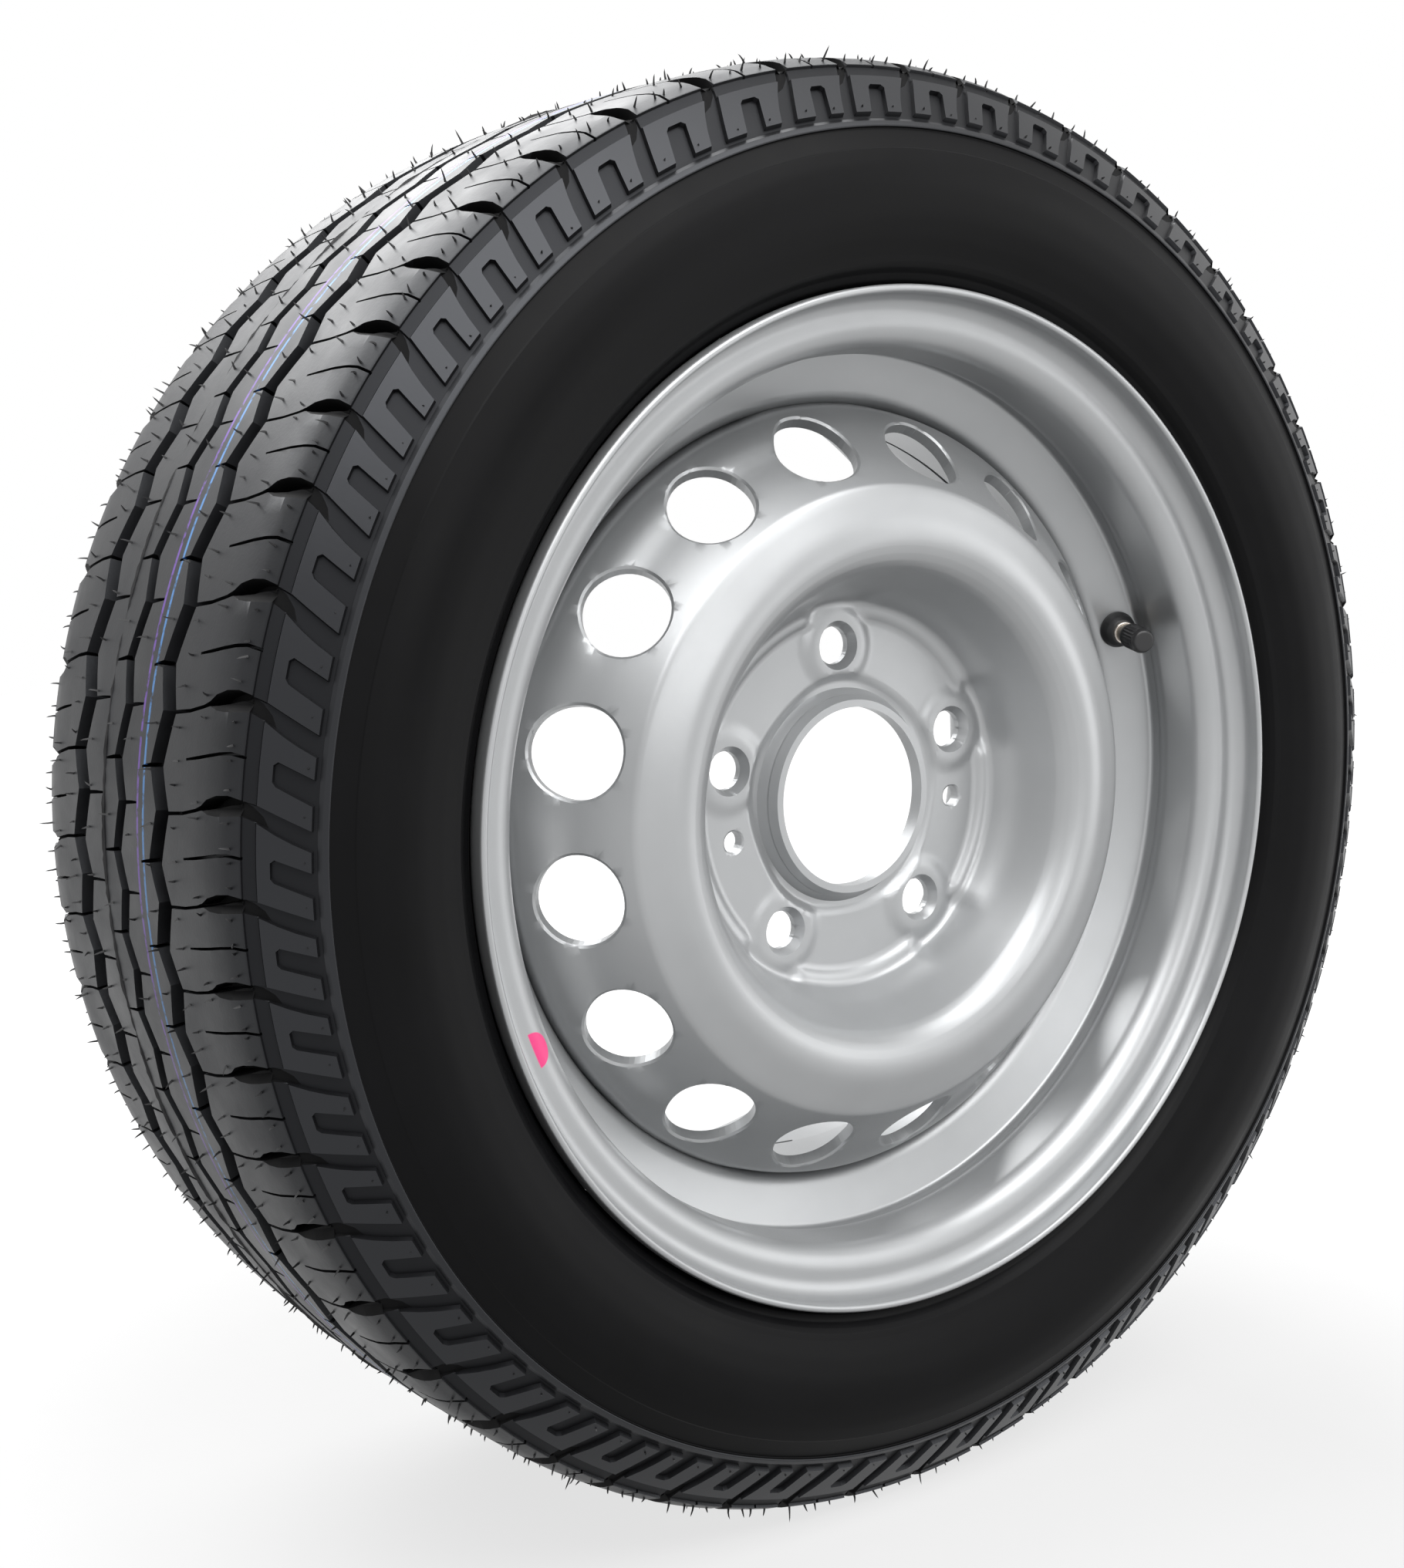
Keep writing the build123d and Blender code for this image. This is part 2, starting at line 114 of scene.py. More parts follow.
def new_piece(name, verts, faces, body, material, smooth_angle, replaces=()):
    """Mesh in millimetres that rides on a body and may stand in for CAD nodes."""
    mesh = bpy.data.meshes.new(name)
    mesh.from_pydata((np.asarray(verts) * MM).tolist(), [], [list(map(int, f)) for f in faces])
    mesh.validate()
    mesh.shade_smooth()
    mesh.set_sharp_from_angle(angle=math.radians(smooth_angle))
    obj = bpy.data.objects.new(name, mesh)
    bpy.context.scene.collection.objects.link(obj)
    mesh.materials.append(material)
    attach(obj, body)
    if replaces:
        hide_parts(*replaces)
    return obj


def lathe(path, segments, closed=False):
    """Vertices and quads of a path of (radius, y) turned about the Y axis."""
    path = np.asarray(path, float)
    n = len(path)
    angles = np.arange(segments) * 2 * math.pi / segments
    verts = around(path[None, :, 0], path[None, :, 1], angles[:, None]).reshape(-1, 3)
    faces = []
    last = n if closed else n - 1
    for i in range(segments):
        j = (i + 1) % segments
        for k in range(last):
            m = (k + 1) % n
            faces.append((i * n + k, i * n + m, j * n + m, j * n + k))
    return verts, faces


def inside(points, polygon):
    """Even-odd test of points against a closed polygon."""
    x, y = points[:, 0], points[:, 1]
    hit = np.zeros(len(points), bool)
    px, py = polygon[:, 0], polygon[:, 1]
    for k in range(len(polygon)):
        x0, y0, x1, y1 = px[k - 1], py[k - 1], px[k], py[k]
        if y0 == y1:
            continue
        cross = (y0 > y) != (y1 > y)
        hit ^= cross & (x < (x1 - x0) * (y - y0) / (y1 - y0) + x0)
    return hit


def edge_distance(points, polygon):
    """Distance of points from the sides of a closed polygon."""
    best = np.full(len(points), np.inf)
    for k in range(len(polygon)):
        a, b = polygon[k - 1], polygon[k]
        d = b - a
        t = np.clip(((points - a) @ d) / max(d @ d, 1e-12), 0, 1)
        best = np.minimum(best, np.linalg.norm(points - a - t[:, None] * d, axis=1))
    return best


SHARPEST = 0.3


def inset(polygon, width):
    """Closed polygon with every side moved inwards by a width."""
    p = np.asarray(polygon, float)
    area = 0.5 * np.sum(p[:, 0] * np.roll(p[:, 1], -1) - np.roll(p[:, 0], -1) * p[:, 1])
    turn = 1 if area > 0 else -1
    out = []
    for k in range(len(p)):
        a, b, c = p[k - 1], p[k], p[(k + 1) % len(p)]
        u, v = (b - a) / np.linalg.norm(b - a), (c - b) / np.linalg.norm(c - b)
        nu, nv = turn * np.array([-u[1], u[0]]), turn * np.array([-v[1], v[0]])
        m = nu + nv
        out.append(b + m * width / max(m @ nu, SHARPEST))
    return np.array(out)


def triangulate(loops, lines):
    """Constrained triangulation of closed loops and open lines of 2-D points."""
    verts, edges = [], []
    for loop in loops:
        base = len(verts)
        verts += [Vector((float(x), float(y))) for x, y in loop]
        edges += [(base + k, base + (k + 1) % len(loop)) for k in range(len(loop))]
    for line in lines:
        base = len(verts)
        verts += [Vector((float(x), float(y))) for x, y in line]
        edges += [(base + k, base + k + 1) for k in range(len(line) - 1)]
    v, _, f, _, _, _ = delaunay_2d_cdt(verts, edges, [], 0, 1e-5)
    return np.array([[p.x, p.y] for p in v]), np.array([t for t in f if len(t) == 3])


def fix_normals(obj):
    """Turns all faces of a closed piece outwards."""
    bm = bmesh.new()
    bm.from_mesh(obj.data)
    bmesh.ops.recalc_face_normals(bm, faces=bm.faces)
    bm.to_mesh(obj.data)
    bm.free()


def set_tones(obj, extra, tone):
    """Adds materials to a piece and says which one each face has."""
    for look in extra:
        obj.data.materials.append(look)
    obj.data.polygons.foreach_set("material_index", tone.astype(np.int32))


# Materials

NOISE_ROUGHNESS = 0.6


def bsdf(m, name):
    """Input of a material's main shader."""
    return m.node_tree.nodes["Principled BSDF"].inputs[name]


def material(name, base, rough, metallic=0.0, spec=0.5):
    """New material with plain values, which others may be linked over."""
    m = bpy.data.materials.new(name)
    m.use_nodes = True
    bsdf(m, "Base Color").default_value = (*base, 1)
    bsdf(m, "Roughness").default_value = rough
    bsdf(m, "Metallic").default_value = metallic
    bsdf(m, "Specular IOR Level").default_value = spec
    return m


def add(owner, kind, **values):
    """New node in a material's or the world's tree."""
    node = owner.node_tree.nodes.new(kind)
    for key, value in values.items():
        setattr(node, key, value)
    return node


def link(owner, a, b):
    owner.node_tree.links.new(a, b)


def noise(m, scale, detail):
    """Noise from 0 to 1 that is fixed to the object."""
    where = add(m, "ShaderNodeTexCoord")
    tex = add(m, "ShaderNodeTexNoise")
    tex.inputs["Scale"].default_value = scale
    tex.inputs["Detail"].default_value = detail
    tex.inputs["Roughness"].default_value = NOISE_ROUGHNESS
    link(m, where.outputs["Object"], tex.inputs["Vector"])
    return tex.outputs["Fac"]


def ranged(m, value, low, high, to_low, to_high):
    """Moves a value from one range to another, and stops at its ends."""
    node = add(m, "ShaderNodeMapRange")
    for k, v in zip((1, 2, 3, 4), (low, high, to_low, to_high)):
        node.inputs[k].default_value = v
    link(m, value, node.inputs[0])
    return node.outputs[0]


def bumped(m, value, strength, distance):
    """Fine relief by a height."""
    node = add(m, "ShaderNodeBump")
    node.inputs["Strength"].default_value = strength
    node.inputs["Distance"].default_value = distance
    link(m, value, node.inputs["Height"])
    link(m, node.outputs["Normal"], bsdf(m, "Normal"))


def varied(m, fac, first, second):
    """Mixes two base colours by a factor."""
    node = add(m, "ShaderNodeMix", data_type="RGBA")
    node.inputs[6].default_value = (*first, 1)
    node.inputs[7].default_value = (*second, 1)
    link(m, fac, node.inputs[0])
    return node.outputs[2]


def painted(m, fac, under, paint):
    """Puts a plain paint over a linked colour by a factor."""
    node = add(m, "ShaderNodeMix", data_type="RGBA")
    link(m, fac, node.inputs[0])
    link(m, under, node.inputs[6])
    node.inputs[7].default_value = (*paint, 1)
    return node.outputs[2]


def ring_radius(m):
    """Distance from the wheel's axis, and the parts of the place it comes from."""
    where = add(m, "ShaderNodeTexCoord")
    split = add(m, "ShaderNodeSeparateXYZ")
    link(m, where.outputs["Object"], split.inputs[0])
    flat = add(m, "ShaderNodeCombineXYZ")
    link(m, split.outputs["X"], flat.inputs["X"])
    link(m, split.outputs["Z"], flat.inputs["Z"])
    size = add(m, "ShaderNodeVectorMath", operation="LENGTH")
    link(m, flat.outputs[0], size.inputs[0])
    return size.outputs["Value"], where, split


def times(m, first, second):
    """Product of two values."""
    node = add(m, "ShaderNodeMath", operation="MULTIPLY")
    link(m, first, node.inputs[0])
    link(m, second, node.inputs[1])
    return node.outputs[0]


MARK_RADIUS, MARK_SIZE, MARK_Y, MARK_ANGLE = 0.171, 0.0063, -0.0793, math.radians(203.3)
MARK_EASE, MARK_PINK = 0.0002, (1.0, 0.07, 0.28)
SILVER_METALLIC = 0.55
PAINT_LINES = ((-0.0163, (0.18, 0.08, 0.42)), (-0.0208, (0.10, 0.28, 0.62)))
PAINT_HALF, PAINT_FROM, PAINT_FULL = 0.0007, 0.2607, 0.2611
TREAD_TINT, PAD_TINT = (0.90, 0.94, 1.0, 1), (0.90, 0.93, 1.0, 1)
PLAIN_GRAIN, PLAIN_DARK = 400, 0.8


def mark_mask(m):
    """Half-round paint mark on the rim's outboard flange, its flat side towards the lip."""
    size, where, _ = ring_radius(m)
    gap = add(m, "ShaderNodeVectorMath", operation="DISTANCE")
    link(m, where.outputs["Object"], gap.inputs[0])
    gap.inputs[1].default_value = around(MARK_RADIUS, MARK_Y, np.array(MARK_ANGLE)).tolist()
    disc = ranged(m, gap.outputs["Value"], MARK_SIZE - MARK_EASE, MARK_SIZE + MARK_EASE, 1, 0)
    return times(m, disc, ranged(m, size, MARK_RADIUS - MARK_EASE, MARK_RADIUS + MARK_EASE, 1, 0))


def silver_paint():
    """Satin silver paint with a fine grain, and the pink mark."""
    m = material("silver_paint", (0.40, 0.41, 0.42), 0.34, SILVER_METALLIC, 0.5)
    grain = noise(m, 2600, 2)
    cloud = ranged(m, noise(m, 22, 3), 0.3, 0.7, 0, 1)
    silver = varied(m, cloud, (0.385, 0.393, 0.40), (0.415, 0.423, 0.43))
    mark = mark_mask(m)
    link(m, painted(m, mark, silver, MARK_PINK), bsdf(m, "Base Color"))
    link(m, ranged(m, mark, 0, 1, SILVER_METALLIC, 0.0), bsdf(m, "Metallic"))
    link(m, ranged(m, grain, 0.3, 0.7, 0.30, 0.42), bsdf(m, "Roughness"))
    bumped(m, grain, 0.05, 0.0002)
    return m


def tread_rubber():
    """Rubber with a soft sheen and two thin paint lines round the tread."""
    m = material("tread_rubber", (0.006, 0.006, 0.007), 0.45, 0.0, 0.30)
    bsdf(m, "Specular Tint").default_value = TREAD_TINT
    cloud = noise(m, 30, 5)
    fine = noise(m, 900, 3)
    colour = varied(m, ranged(m, cloud, 0.35, 0.65, 0, 1), (0.004, 0.004, 0.0046), (0.008, 0.008, 0.0092))
    size, _, split = ring_radius(m)
    on_top = ranged(m, size, PAINT_FROM, PAINT_FULL, 0, 1)
    worn = ranged(m, noise(m, 260, 3), 0.36, 0.5, 0, 1)
    for place, paint in PAINT_LINES:
        off = add(m, "ShaderNodeMath", operation="SUBTRACT")
        off.inputs[1].default_value = place
        link(m, split.outputs["Y"], off.inputs[0])
        dist = add(m, "ShaderNodeMath", operation="ABSOLUTE")
        link(m, off.outputs[0], dist.inputs[0])
        band = ranged(m, dist.outputs[0], PAINT_HALF * 0.7, PAINT_HALF * 1.3, 1, 0)
        colour = painted(m, times(m, times(m, band, on_top), worn), colour, paint)
    link(m, colour, bsdf(m, "Base Color"))
    link(m, ranged(m, cloud, 0.3, 0.7, 0.36, 0.52), bsdf(m, "Roughness"))
    bumped(m, fine, 0.12, 0.0003)
    return m


def side_rubber():
    """Darker, duller rubber of the sidewall."""
    m = material("side_rubber", (0.004, 0.004, 0.004), 0.42, 0.0, 0.09)
    cloud = noise(m, 18, 4)
    fine = noise(m, 700, 3)
    colour = varied(m, ranged(m, cloud, 0.35, 0.65, 0, 1), (0.0025, 0.0025, 0.0028), (0.004, 0.004, 0.0045))
    link(m, colour, bsdf(m, "Base Color"))
    link(m, ranged(m, cloud, 0.3, 0.7, 0.36, 0.5), bsdf(m, "Roughness"))
    bumped(m, fine, 0.08, 0.0002)
    return m


def plain(name, base, rough, metallic=0.0, spec=0.5):
    """One colour with a fine grain."""
    m = material(name, base, rough, metallic, spec)
    grain = noise(m, PLAIN_GRAIN, 3)
    link(m, varied(m, grain, tuple(PLAIN_DARK * c for c in base), base), bsdf(m, "Base Color"))
    bumped(m, grain, 0.1, 0.0002)
    return m


SILVER = silver_paint()
TREAD = tread_rubber()
SIDE = side_rubber()
PADS = plain("pad_rubber", (0.005, 0.005, 0.0056), 0.39, spec=0.42)
# The shoulder's recesses and the strip under the pads' foot get this darker, duller copy of the pad rubber as
# painted shade.
RECESS_PAINTED_SHADE = plain("recess_painted_shade", (0.004, 0.004, 0.0045), 0.46, spec=0.22)
# Groove floors and scoops get this darker, duller rubber as painted shade.
GROOVE_PAINTED_SHADE = plain("groove_painted_shade", (0.003, 0.003, 0.0033), 0.7, spec=0.12)
HAIR = plain("hair_rubber", (0.008, 0.008, 0.009), 0.6)
VALVE = plain("valve_rubber", (0.016, 0.016, 0.017), 0.45)
CAP = plain("cap_plastic", (0.015, 0.015, 0.016), 0.38)
NECK = plain("stem_metal", (0.42, 0.38, 0.33), 0.32, 0.9)
COLLAR = plain("collar_nickel", (0.72, 0.66, 0.6), 0.25, 0.9)
BRASS = plain("core_brass", (0.62, 0.45, 0.2), 0.35, 1.0)
STEEL = plain("spring_steel", (0.5, 0.5, 0.5), 0.3, 1.0)
for rubber in (PADS, RECESS_PAINTED_SHADE):
    bsdf(rubber, "Specular Tint").default_value = PAD_TINT


# Tyre: outer profile from the middle of the crown to the pads' foot

CROWN_R, CROWN_HALF, CROWN_DROP, TREAD_EDGE = 262, 62, 1.7, 79.1
CROWN = [(CROWN_R - CROWN_DROP * (y / CROWN_HALF) ** 2, y) for y in np.linspace(0, CROWN_HALF, 9)]
SHOULDER = [(259.6, 67.5), (258.3, 73.2), (255.4, TREAD_EDGE), (251.7, 81.4), (247.5, 84.3), (238.0, 90.7)]
PAD_STEP, BAND_STEP = 1.7, 0.9
outer = fillet(CROWN + SHOULDER, [0] * 8 + [30, 16, 0.4, 3.0, 6.0], 0.08)
outer_s = lengths_of(outer)
slope = np.gradient(outer, outer_s, axis=0)
outer_n = np.stack([slope[:, 1], -slope[:, 0]], axis=1)
outer_n = outer_n / np.linalg.norm(outer_n, axis=1)[:, None]
BAND = float(outer_s[-1])
EDGE = float(np.interp(TREAD_EDGE, outer[:, 1], outer_s))

PITCH = 29.4
SIZES = (1.10, 1.14, 1.06, 1.00, 0.90, 0.90, 1.00, 0.90)
SEQUENCES = 7
OUT_CORNER, IN_CORNER = 0.25, 0.80
GROOVES = ((34.0, 11.8, 2.9), (-1.6, 6.8, 2.5), (-32.8, 9.7, 2.75))
GROOVE_DEPTH, GROOVE_DRAFT, GROOVE_SHADE = 7.4, 1.0, 4.6
HOOK_DEPTH, WALL_DRAFT = 6.3, 0.35
SCOOP_DEPTH, SCOOP_DRAFT = 2.2, 2.4
SIPE_DEPTH, SIPE_DRAFT, SIPE_WIDTHS = 4.0, 0.15, (0.7, 1.0, 1.0, 1.0, 1.0, 1.0)
RIB_SIPE_DEPTH, RIB_SIPE_DRAFT, RIB_SIPE_WIDTHS = 4.5, 0.2, (1.3, 1.1, 0.7)
BAND_END, FOOT_RUN = 84.6, 0.4
CUT_LINES = (75.0, EDGE - 0.7, EDGE - 0.1, EDGE + 2, 86.0, 90, 94, BAND - FOOT_RUN, BAND)
END_TOLERANCE = 1e-3


def groove_polygon(place, width, shift):
    """Zigzag band over several pitches; x round the tyre, s across it."""
    low, high = [], []
    for k in range(-2, 4):
        for at, side in ((OUT_CORNER, -1), (IN_CORNER, 1)):
            x = (k + at) * PITCH
            low.append((x, place + side * shift - width / 2))
            high.append((x, place + side * shift + width / 2))
    return np.array(low + high[::-1])


def stroke(points, widths):
    """Closed outline of a line of varying width."""
    p = np.array(points, float)
    n = normals_of(p)
    w = np.array(widths, float)[:, None] / 2
    return np.concatenate([p + n * w, (p - n * w)[::-1]])


SCOOP = np.array([
    (-3.2, 63.0), (-2.4, 66.0), (-2.3, 70.0), (-2.7, 75.0), (-3.2, 80.0), (-1.8, 84.0), (0.2, 88.0),
    (-3.2, 86.4), (-6.2, 83.4), (-8.0, 80.0), (-8.9, 75.0), (-8.4, 70.0), (-6.8, 65.0), (-5.2, 63.0),
])


def half_features():
    """Outboard features as (outline, depth, draft); x is measured from the outboard corner."""
    hook = [
        (0.6, 39.5), (-0.6, 50), (-2.3, 58.3), (-3.2, 62.0), (-3.7, 65.0), (-4.8, 70.0), (-6.0, 75.0),
        (-6.8, 80.0), (-8.0, 80.4), (-8.9, 75.0), (-8.4, 70.0), (-6.8, 65.0), (-4.7, 62.0), (-3.4, 58.3),
        (-1.7, 50), (-0.6, 39.5),
    ]
    gap = [
        (-3.2, EDGE - 0.1), (-2.9, 81.0), (-1.1, 85.0), (2.1, 90.0), (4.8, 95.0), (7.1, 100.0), (8.3, BAND + 2),
        (1.4, BAND + 2), (0.3, 100.0), (-2.0, 95.0), (-4.3, 90.0), (-6.6, 85.0), (-8.0, EDGE - 0.1),
    ]
    notch = [(9.7, 89.8), (10.7, 88.5), (15.6, 88.5), (17.0, 89.6), (23.2, BAND + 2), (14.9, BAND + 2)]
    sipe = [(12.6, 50.5), (11.5, 58), (10.3, 65), (9.4, 70), (8.8, 75), (9.4, EDGE + 0.6)]
    return [
        (np.array(hook), HOOK_DEPTH, WALL_DRAFT),
        (SCOOP, SCOOP_DEPTH, SCOOP_DRAFT),
        (np.array(gap), PAD_STEP, WALL_DRAFT),
        (np.array(notch), PAD_STEP, WALL_DRAFT),
        (stroke(sipe, SIPE_WIDTHS), SIPE_DEPTH, SIPE_DRAFT),
    ]


def tread_features():
    """Features of one pitch without its grooves; the inboard half is the outboard one turned round."""
    x_out, x_in = OUT_CORNER * PITCH, IN_CORNER * PITCH
    found = []
    for outline, depth, draft in half_features():
        found.append((np.stack([x_out + outline[:, 0], -outline[:, 1]], axis=1), depth, draft))
        found.append((np.stack([x_in - outline[:, 0], outline[:, 1]], axis=1), depth, draft))
    for side in (-1, 1):
        edge, end = side * (EDGE + 0.1), side * BAND_END
        band = [(-PITCH, edge), (2 * PITCH, edge), (2 * PITCH, end), (-PITCH, end)]
        found.append((np.array(band), BAND_STEP, WALL_DRAFT))
    sipes = (
        ((x_in, -26.0), (x_in + 0.5, -22.5), (x_in + 1.1, -18.9)),
        ((x_out, -6.6), (x_out - 0.5, -11.0), (x_out - 0.9, -15.6)),
        ((x_in, 3.8), (x_in + 0.5, 7.5), (x_in + 1.0, 11.6)),
        ((x_out, 26.0), (x_out - 0.7, 19.0), (x_out - 1.2, 12.6)),
    )
    for line in sipes:
        found.append((stroke(line, RIB_SIPE_WIDTHS), RIB_SIPE_DEPTH, RIB_SIPE_DRAFT))
    return found


def tread_tile():
    """One pitch: points (x, s), their depths and triangles, matched at both ends."""
    grooves = [(groove_polygon(*g), GROOVE_DEPTH, GROOVE_DRAFT) for g in GROOVES]
    local = [(o + np.array([k * PITCH, 0]), d, w) for o, d, w in tread_features() for k in (-1, 0, 1)]
    features = grooves + local
    loops = []
    for outline, _, draft in features:
        loops += [outline, inset(outline, draft)]
    across = [8 * k for k in range(-9, 10)]
    across += [side * v for side in (-1, 1) for v in CUT_LINES]
    lines = [[(-1.2 * PITCH, s), (2.2 * PITCH, s)] for s in across]
    lines += [[(PITCH * k / 6, -BAND - 3), (PITCH * k / 6, BAND + 3)] for k in range(7)]
    points, tris = triangulate(loops, lines)
    middle = points[tris].mean(axis=1)
    keep = (middle[:, 0] > 0) & (middle[:, 0] < PITCH) & (np.abs(middle[:, 1]) < BAND)
    tris = tris[keep]
    used, tris = np.unique(tris, return_inverse=True)
    tris = tris.reshape(-1, 3)
    points = points[used]
    depth = np.zeros(len(points))
    for outline, deep, draft in features:
        near = inside(points, outline)
        if near.any():
            cut = np.zeros(len(points))
            cut[near] = np.clip(edge_distance(points[near], outline) / draft, 0, 1) * deep
            depth = np.maximum(depth, cut)
    foot = np.clip((np.abs(points[:, 1]) - (BAND - FOOT_RUN)) / FOOT_RUN, 0, 1) * PAD_STEP
    depth = np.maximum(depth, foot)
    return points, depth, tris


def pitch_starts():
    """Start and length of every pitch round the tyre, in radians."""
    unit = 2 * math.pi / (SEQUENCES * sum(SIZES))
    start, run = -2 * math.pi / SEQUENCES, []
    for size in SIZES * SEQUENCES:
        run.append((start, size * unit))
        start += size * unit
    return run


def on_tyre(s, depth, angle):
    """Place on the tyre from the distance across the tread, depth below it and angle."""
    a = np.abs(s)
    r = np.interp(a, outer_s, outer[:, 0]) - depth * np.interp(a, outer_s, outer_n[:, 0])
    y = np.interp(a, outer_s, outer[:, 1]) - depth * np.interp(a, outer_s, outer_n[:, 1])
    return around(r, np.sign(s) * y, angle)


def tile_tones(points, depth, tris):
    """Material of each triangle: 0 tread, 1 pads, 2 recesses of the shoulder in painted shade, 3 grooves and
    scoops in deeper painted shade.
    """
    middle = points[tris].mean(axis=1)
    shallow = depth[tris].min(axis=1)
    beyond = np.abs(middle[:, 1]) > EDGE + 0.1
    # Shoulder faces sunk past half the band's step take the recess rubber, painted shade.
    tone = np.where(beyond, np.where(shallow > 0.5 * BAND_STEP, 2, 1), 0)
    # Deep groove floors and the scoops take the groove rubber, painted shade.
    tone[shallow > GROOVE_SHADE] = 3
    for k in (-1, 0, 1):
        for x, turn, side in ((OUT_CORNER * PITCH, 1, -1), (IN_CORNER * PITCH, -1, 1)):
            place = np.stack([x + turn * SCOOP[:, 0] + k * PITCH, side * SCOOP[:, 1]], axis=1)
            tone[inside(middle, place)] = 3
    return tone


def build_tread():
    """One pitch laid round the tyre 56 times, joined end to end."""
    points, depth, tris = tread_tile()
    first = np.flatnonzero(np.abs(points[:, 0]) < END_TOLERANCE)
    last = np.flatnonzero(np.abs(points[:, 0] - PITCH) < END_TOLERANCE)
    first = first[np.argsort(points[first, 1])]
    last = last[np.argsort(points[last, 1])]
    runs = pitch_starts()
    n = len(points)
    share = points[:, 0] / PITCH
    verts = np.concatenate([on_tyre(points[:, 1], depth, start + share * length) for start, length in runs])
    index = np.arange(len(verts))
    for k in range(len(runs)):
        index[k * n + last] = ((k + 1) % len(runs)) * n + first
    faces = index[np.concatenate([tris + k * n for k in range(len(runs))])]
    used, faces = np.unique(faces, return_inverse=True)
    faces = faces.reshape(-1, 3)
    verts = verts[used]
    a, b, c = (verts[faces[:, k]] for k in range(3))
    outwards = a * np.array([1, 0, 1])
    if (np.cross(b - a, c - a) * outwards).sum() < 0:
        faces = faces[:, ::-1]
    obj = new_piece("tyre_tread", verts, faces, "wheel", TREAD, 32, ("tyre",))
    # Pads keep their rubber; recesses, groove floors and scoops take the darker rubbers as painted shade.
    set_tones(obj, (PADS, RECESS_PAINTED_SHADE, GROOVE_PAINTED_SHADE), np.tile(tile_tones(points, depth, tris), len(runs)))


def side_profile():
    """Sidewall from under the pads' foot to the flange, with its rings."""
    start = outer[-1] - PAD_STEP * outer_n[-1]
    points = [
        tuple(start + np.array([1.2, -0.9])), tuple(start), (236.2, 89.9), (235.3, 91.3), (233.5, 92.4),
        (233.0, 91.2), (226.4, 94.1), (226.0, 94.5), (221.0, 96.0), (214.0, 97.0), (205.0, 96.1), (197.0, 93.6),
        (191.5, 91.2), (189.2, 90.4), (187.6, 88.9), (186.0, 86.8), (183.4, 85.4), (182.3, 83.0), (181.0, 80.0),
    ]
    radii = [1, 0.8, 0.6, 0.5, 0.3, 0.6, 0.3, 20, 26, 26, 20, 6, 1.2, 2, 2, 1.5, 1]
    return fillet(points, radii, 0.12)


RING_FOOT, RING_END = 0.2358, 0.2332
ROUND = 360


def build_sides():
    """Both sidewalls; the ring next to the pads has their rubber, and the strip under the pads' foot has the
    darker recess rubber as painted shade.
    """
    path = side_profile()
    for name, side in (("tyre_side_outboard", -1), ("tyre_side_inboard", 1)):
        verts, faces = lathe(path * np.array([1, side]), ROUND)
        if side < 0:
            faces = [f[::-1] for f in faces]
        obj = new_piece(name, verts, faces, "wheel", SIDE, 40, ("tyre",))
        centre = np.zeros(3 * len(obj.data.polygons))
        obj.data.polygons.foreach_get("center", centre)
        centre = centre.reshape(-1, 3)
        radius = np.hypot(centre[:, 0], centre[:, 2])
        # Outermost strip: recess rubber as painted shade; then the ring in pad rubber; the rest sidewall
        # rubber.
        set_tones(obj, (PADS, RECESS_PAINTED_SHADE), np.where(radius > RING_FOOT, 2, np.where(radius > RING_END, 1, 0)))


# Moulding hairs and the fin of the mould's parting line

HALF_HAIRS = (
    (-0.2, 75.5), (7.1, 75.5), (11.2, 75.5), (18.5, 75.5), (-0.2, 59.5), (23.3, 59.5),
    (4.0, 43.5), (14.0, 44.5), (21.0, 43.5), (4.0, 26.5), (18.0, 25.5), (10.0, 8.5),
)
HALF_STUBS = ((10.6, 98.4), (25.0, 98.4))
HAIR_ROOT, HAIR_LENGTH, STUB_LENGTH = 0.5, (1.6, 3.4), (0.5, 0.9)
HAIR_SIDES, HAIR_STATIONS, HAIR_TAPER, HAIR_SUNK = 3, (0.0, 0.4, 0.75), 0.6, 0.3
HAIR_ASIDE = (0.3, 0.5, 0.81)
HAIR_STRAY, HAIR_OFF, HAIR_LEAN, HAIR_BEND = 0.02, 0.6, 0.35, 0.3
FIN_PLACE, FIN_HEIGHT, FIN_STEPS = 12.3, 0.9, 900
FIN_HALF, FIN_SUNK, FIN_DRIFT, FIN_START, FIN_CHANGE = 0.3, 0.2, 0.25, 0.3, 0.35


def drawn(count):
    """Random values from -1 to 1."""
    return np.array([rng.uniform(-1, 1) for _ in range(count)])


def hair(foot, tip, bend):
    """Thin curved cone of three sides between two points."""
    along = (tip - foot) / np.linalg.norm(tip - foot)
    first = np.cross(along, HAIR_ASIDE)
    first = first / np.linalg.norm(first)
    second = np.cross(along, first)
    turns = np.arange(HAIR_SIDES) * 2 * math.pi / HAIR_SIDES
    circle = np.cos(turns)[:, None] * first + np.sin(turns)[:, None] * second
    rings = []
    for t in HAIR_STATIONS:
        centre = foot + (tip - foot) * t + bend * t * t
        rings.append(centre + HAIR_ROOT * (1 - HAIR_TAPER * t) * circle)
    verts = np.concatenate(rings + [[tip + bend]])
    top = HAIR_SIDES * (len(HAIR_STATIONS) - 1)
    faces = []
    for low in range(0, top, HAIR_SIDES):
        high = low + HAIR_SIDES
        for j in range(HAIR_SIDES):
            m = (j + 1) % HAIR_SIDES
            faces.append((low + j, low + m, high + m, high + j))
    faces += [(top + j, top + (j + 1) % HAIR_SIDES, top + HAIR_SIDES) for j in range(HAIR_SIDES)]
    return verts, faces


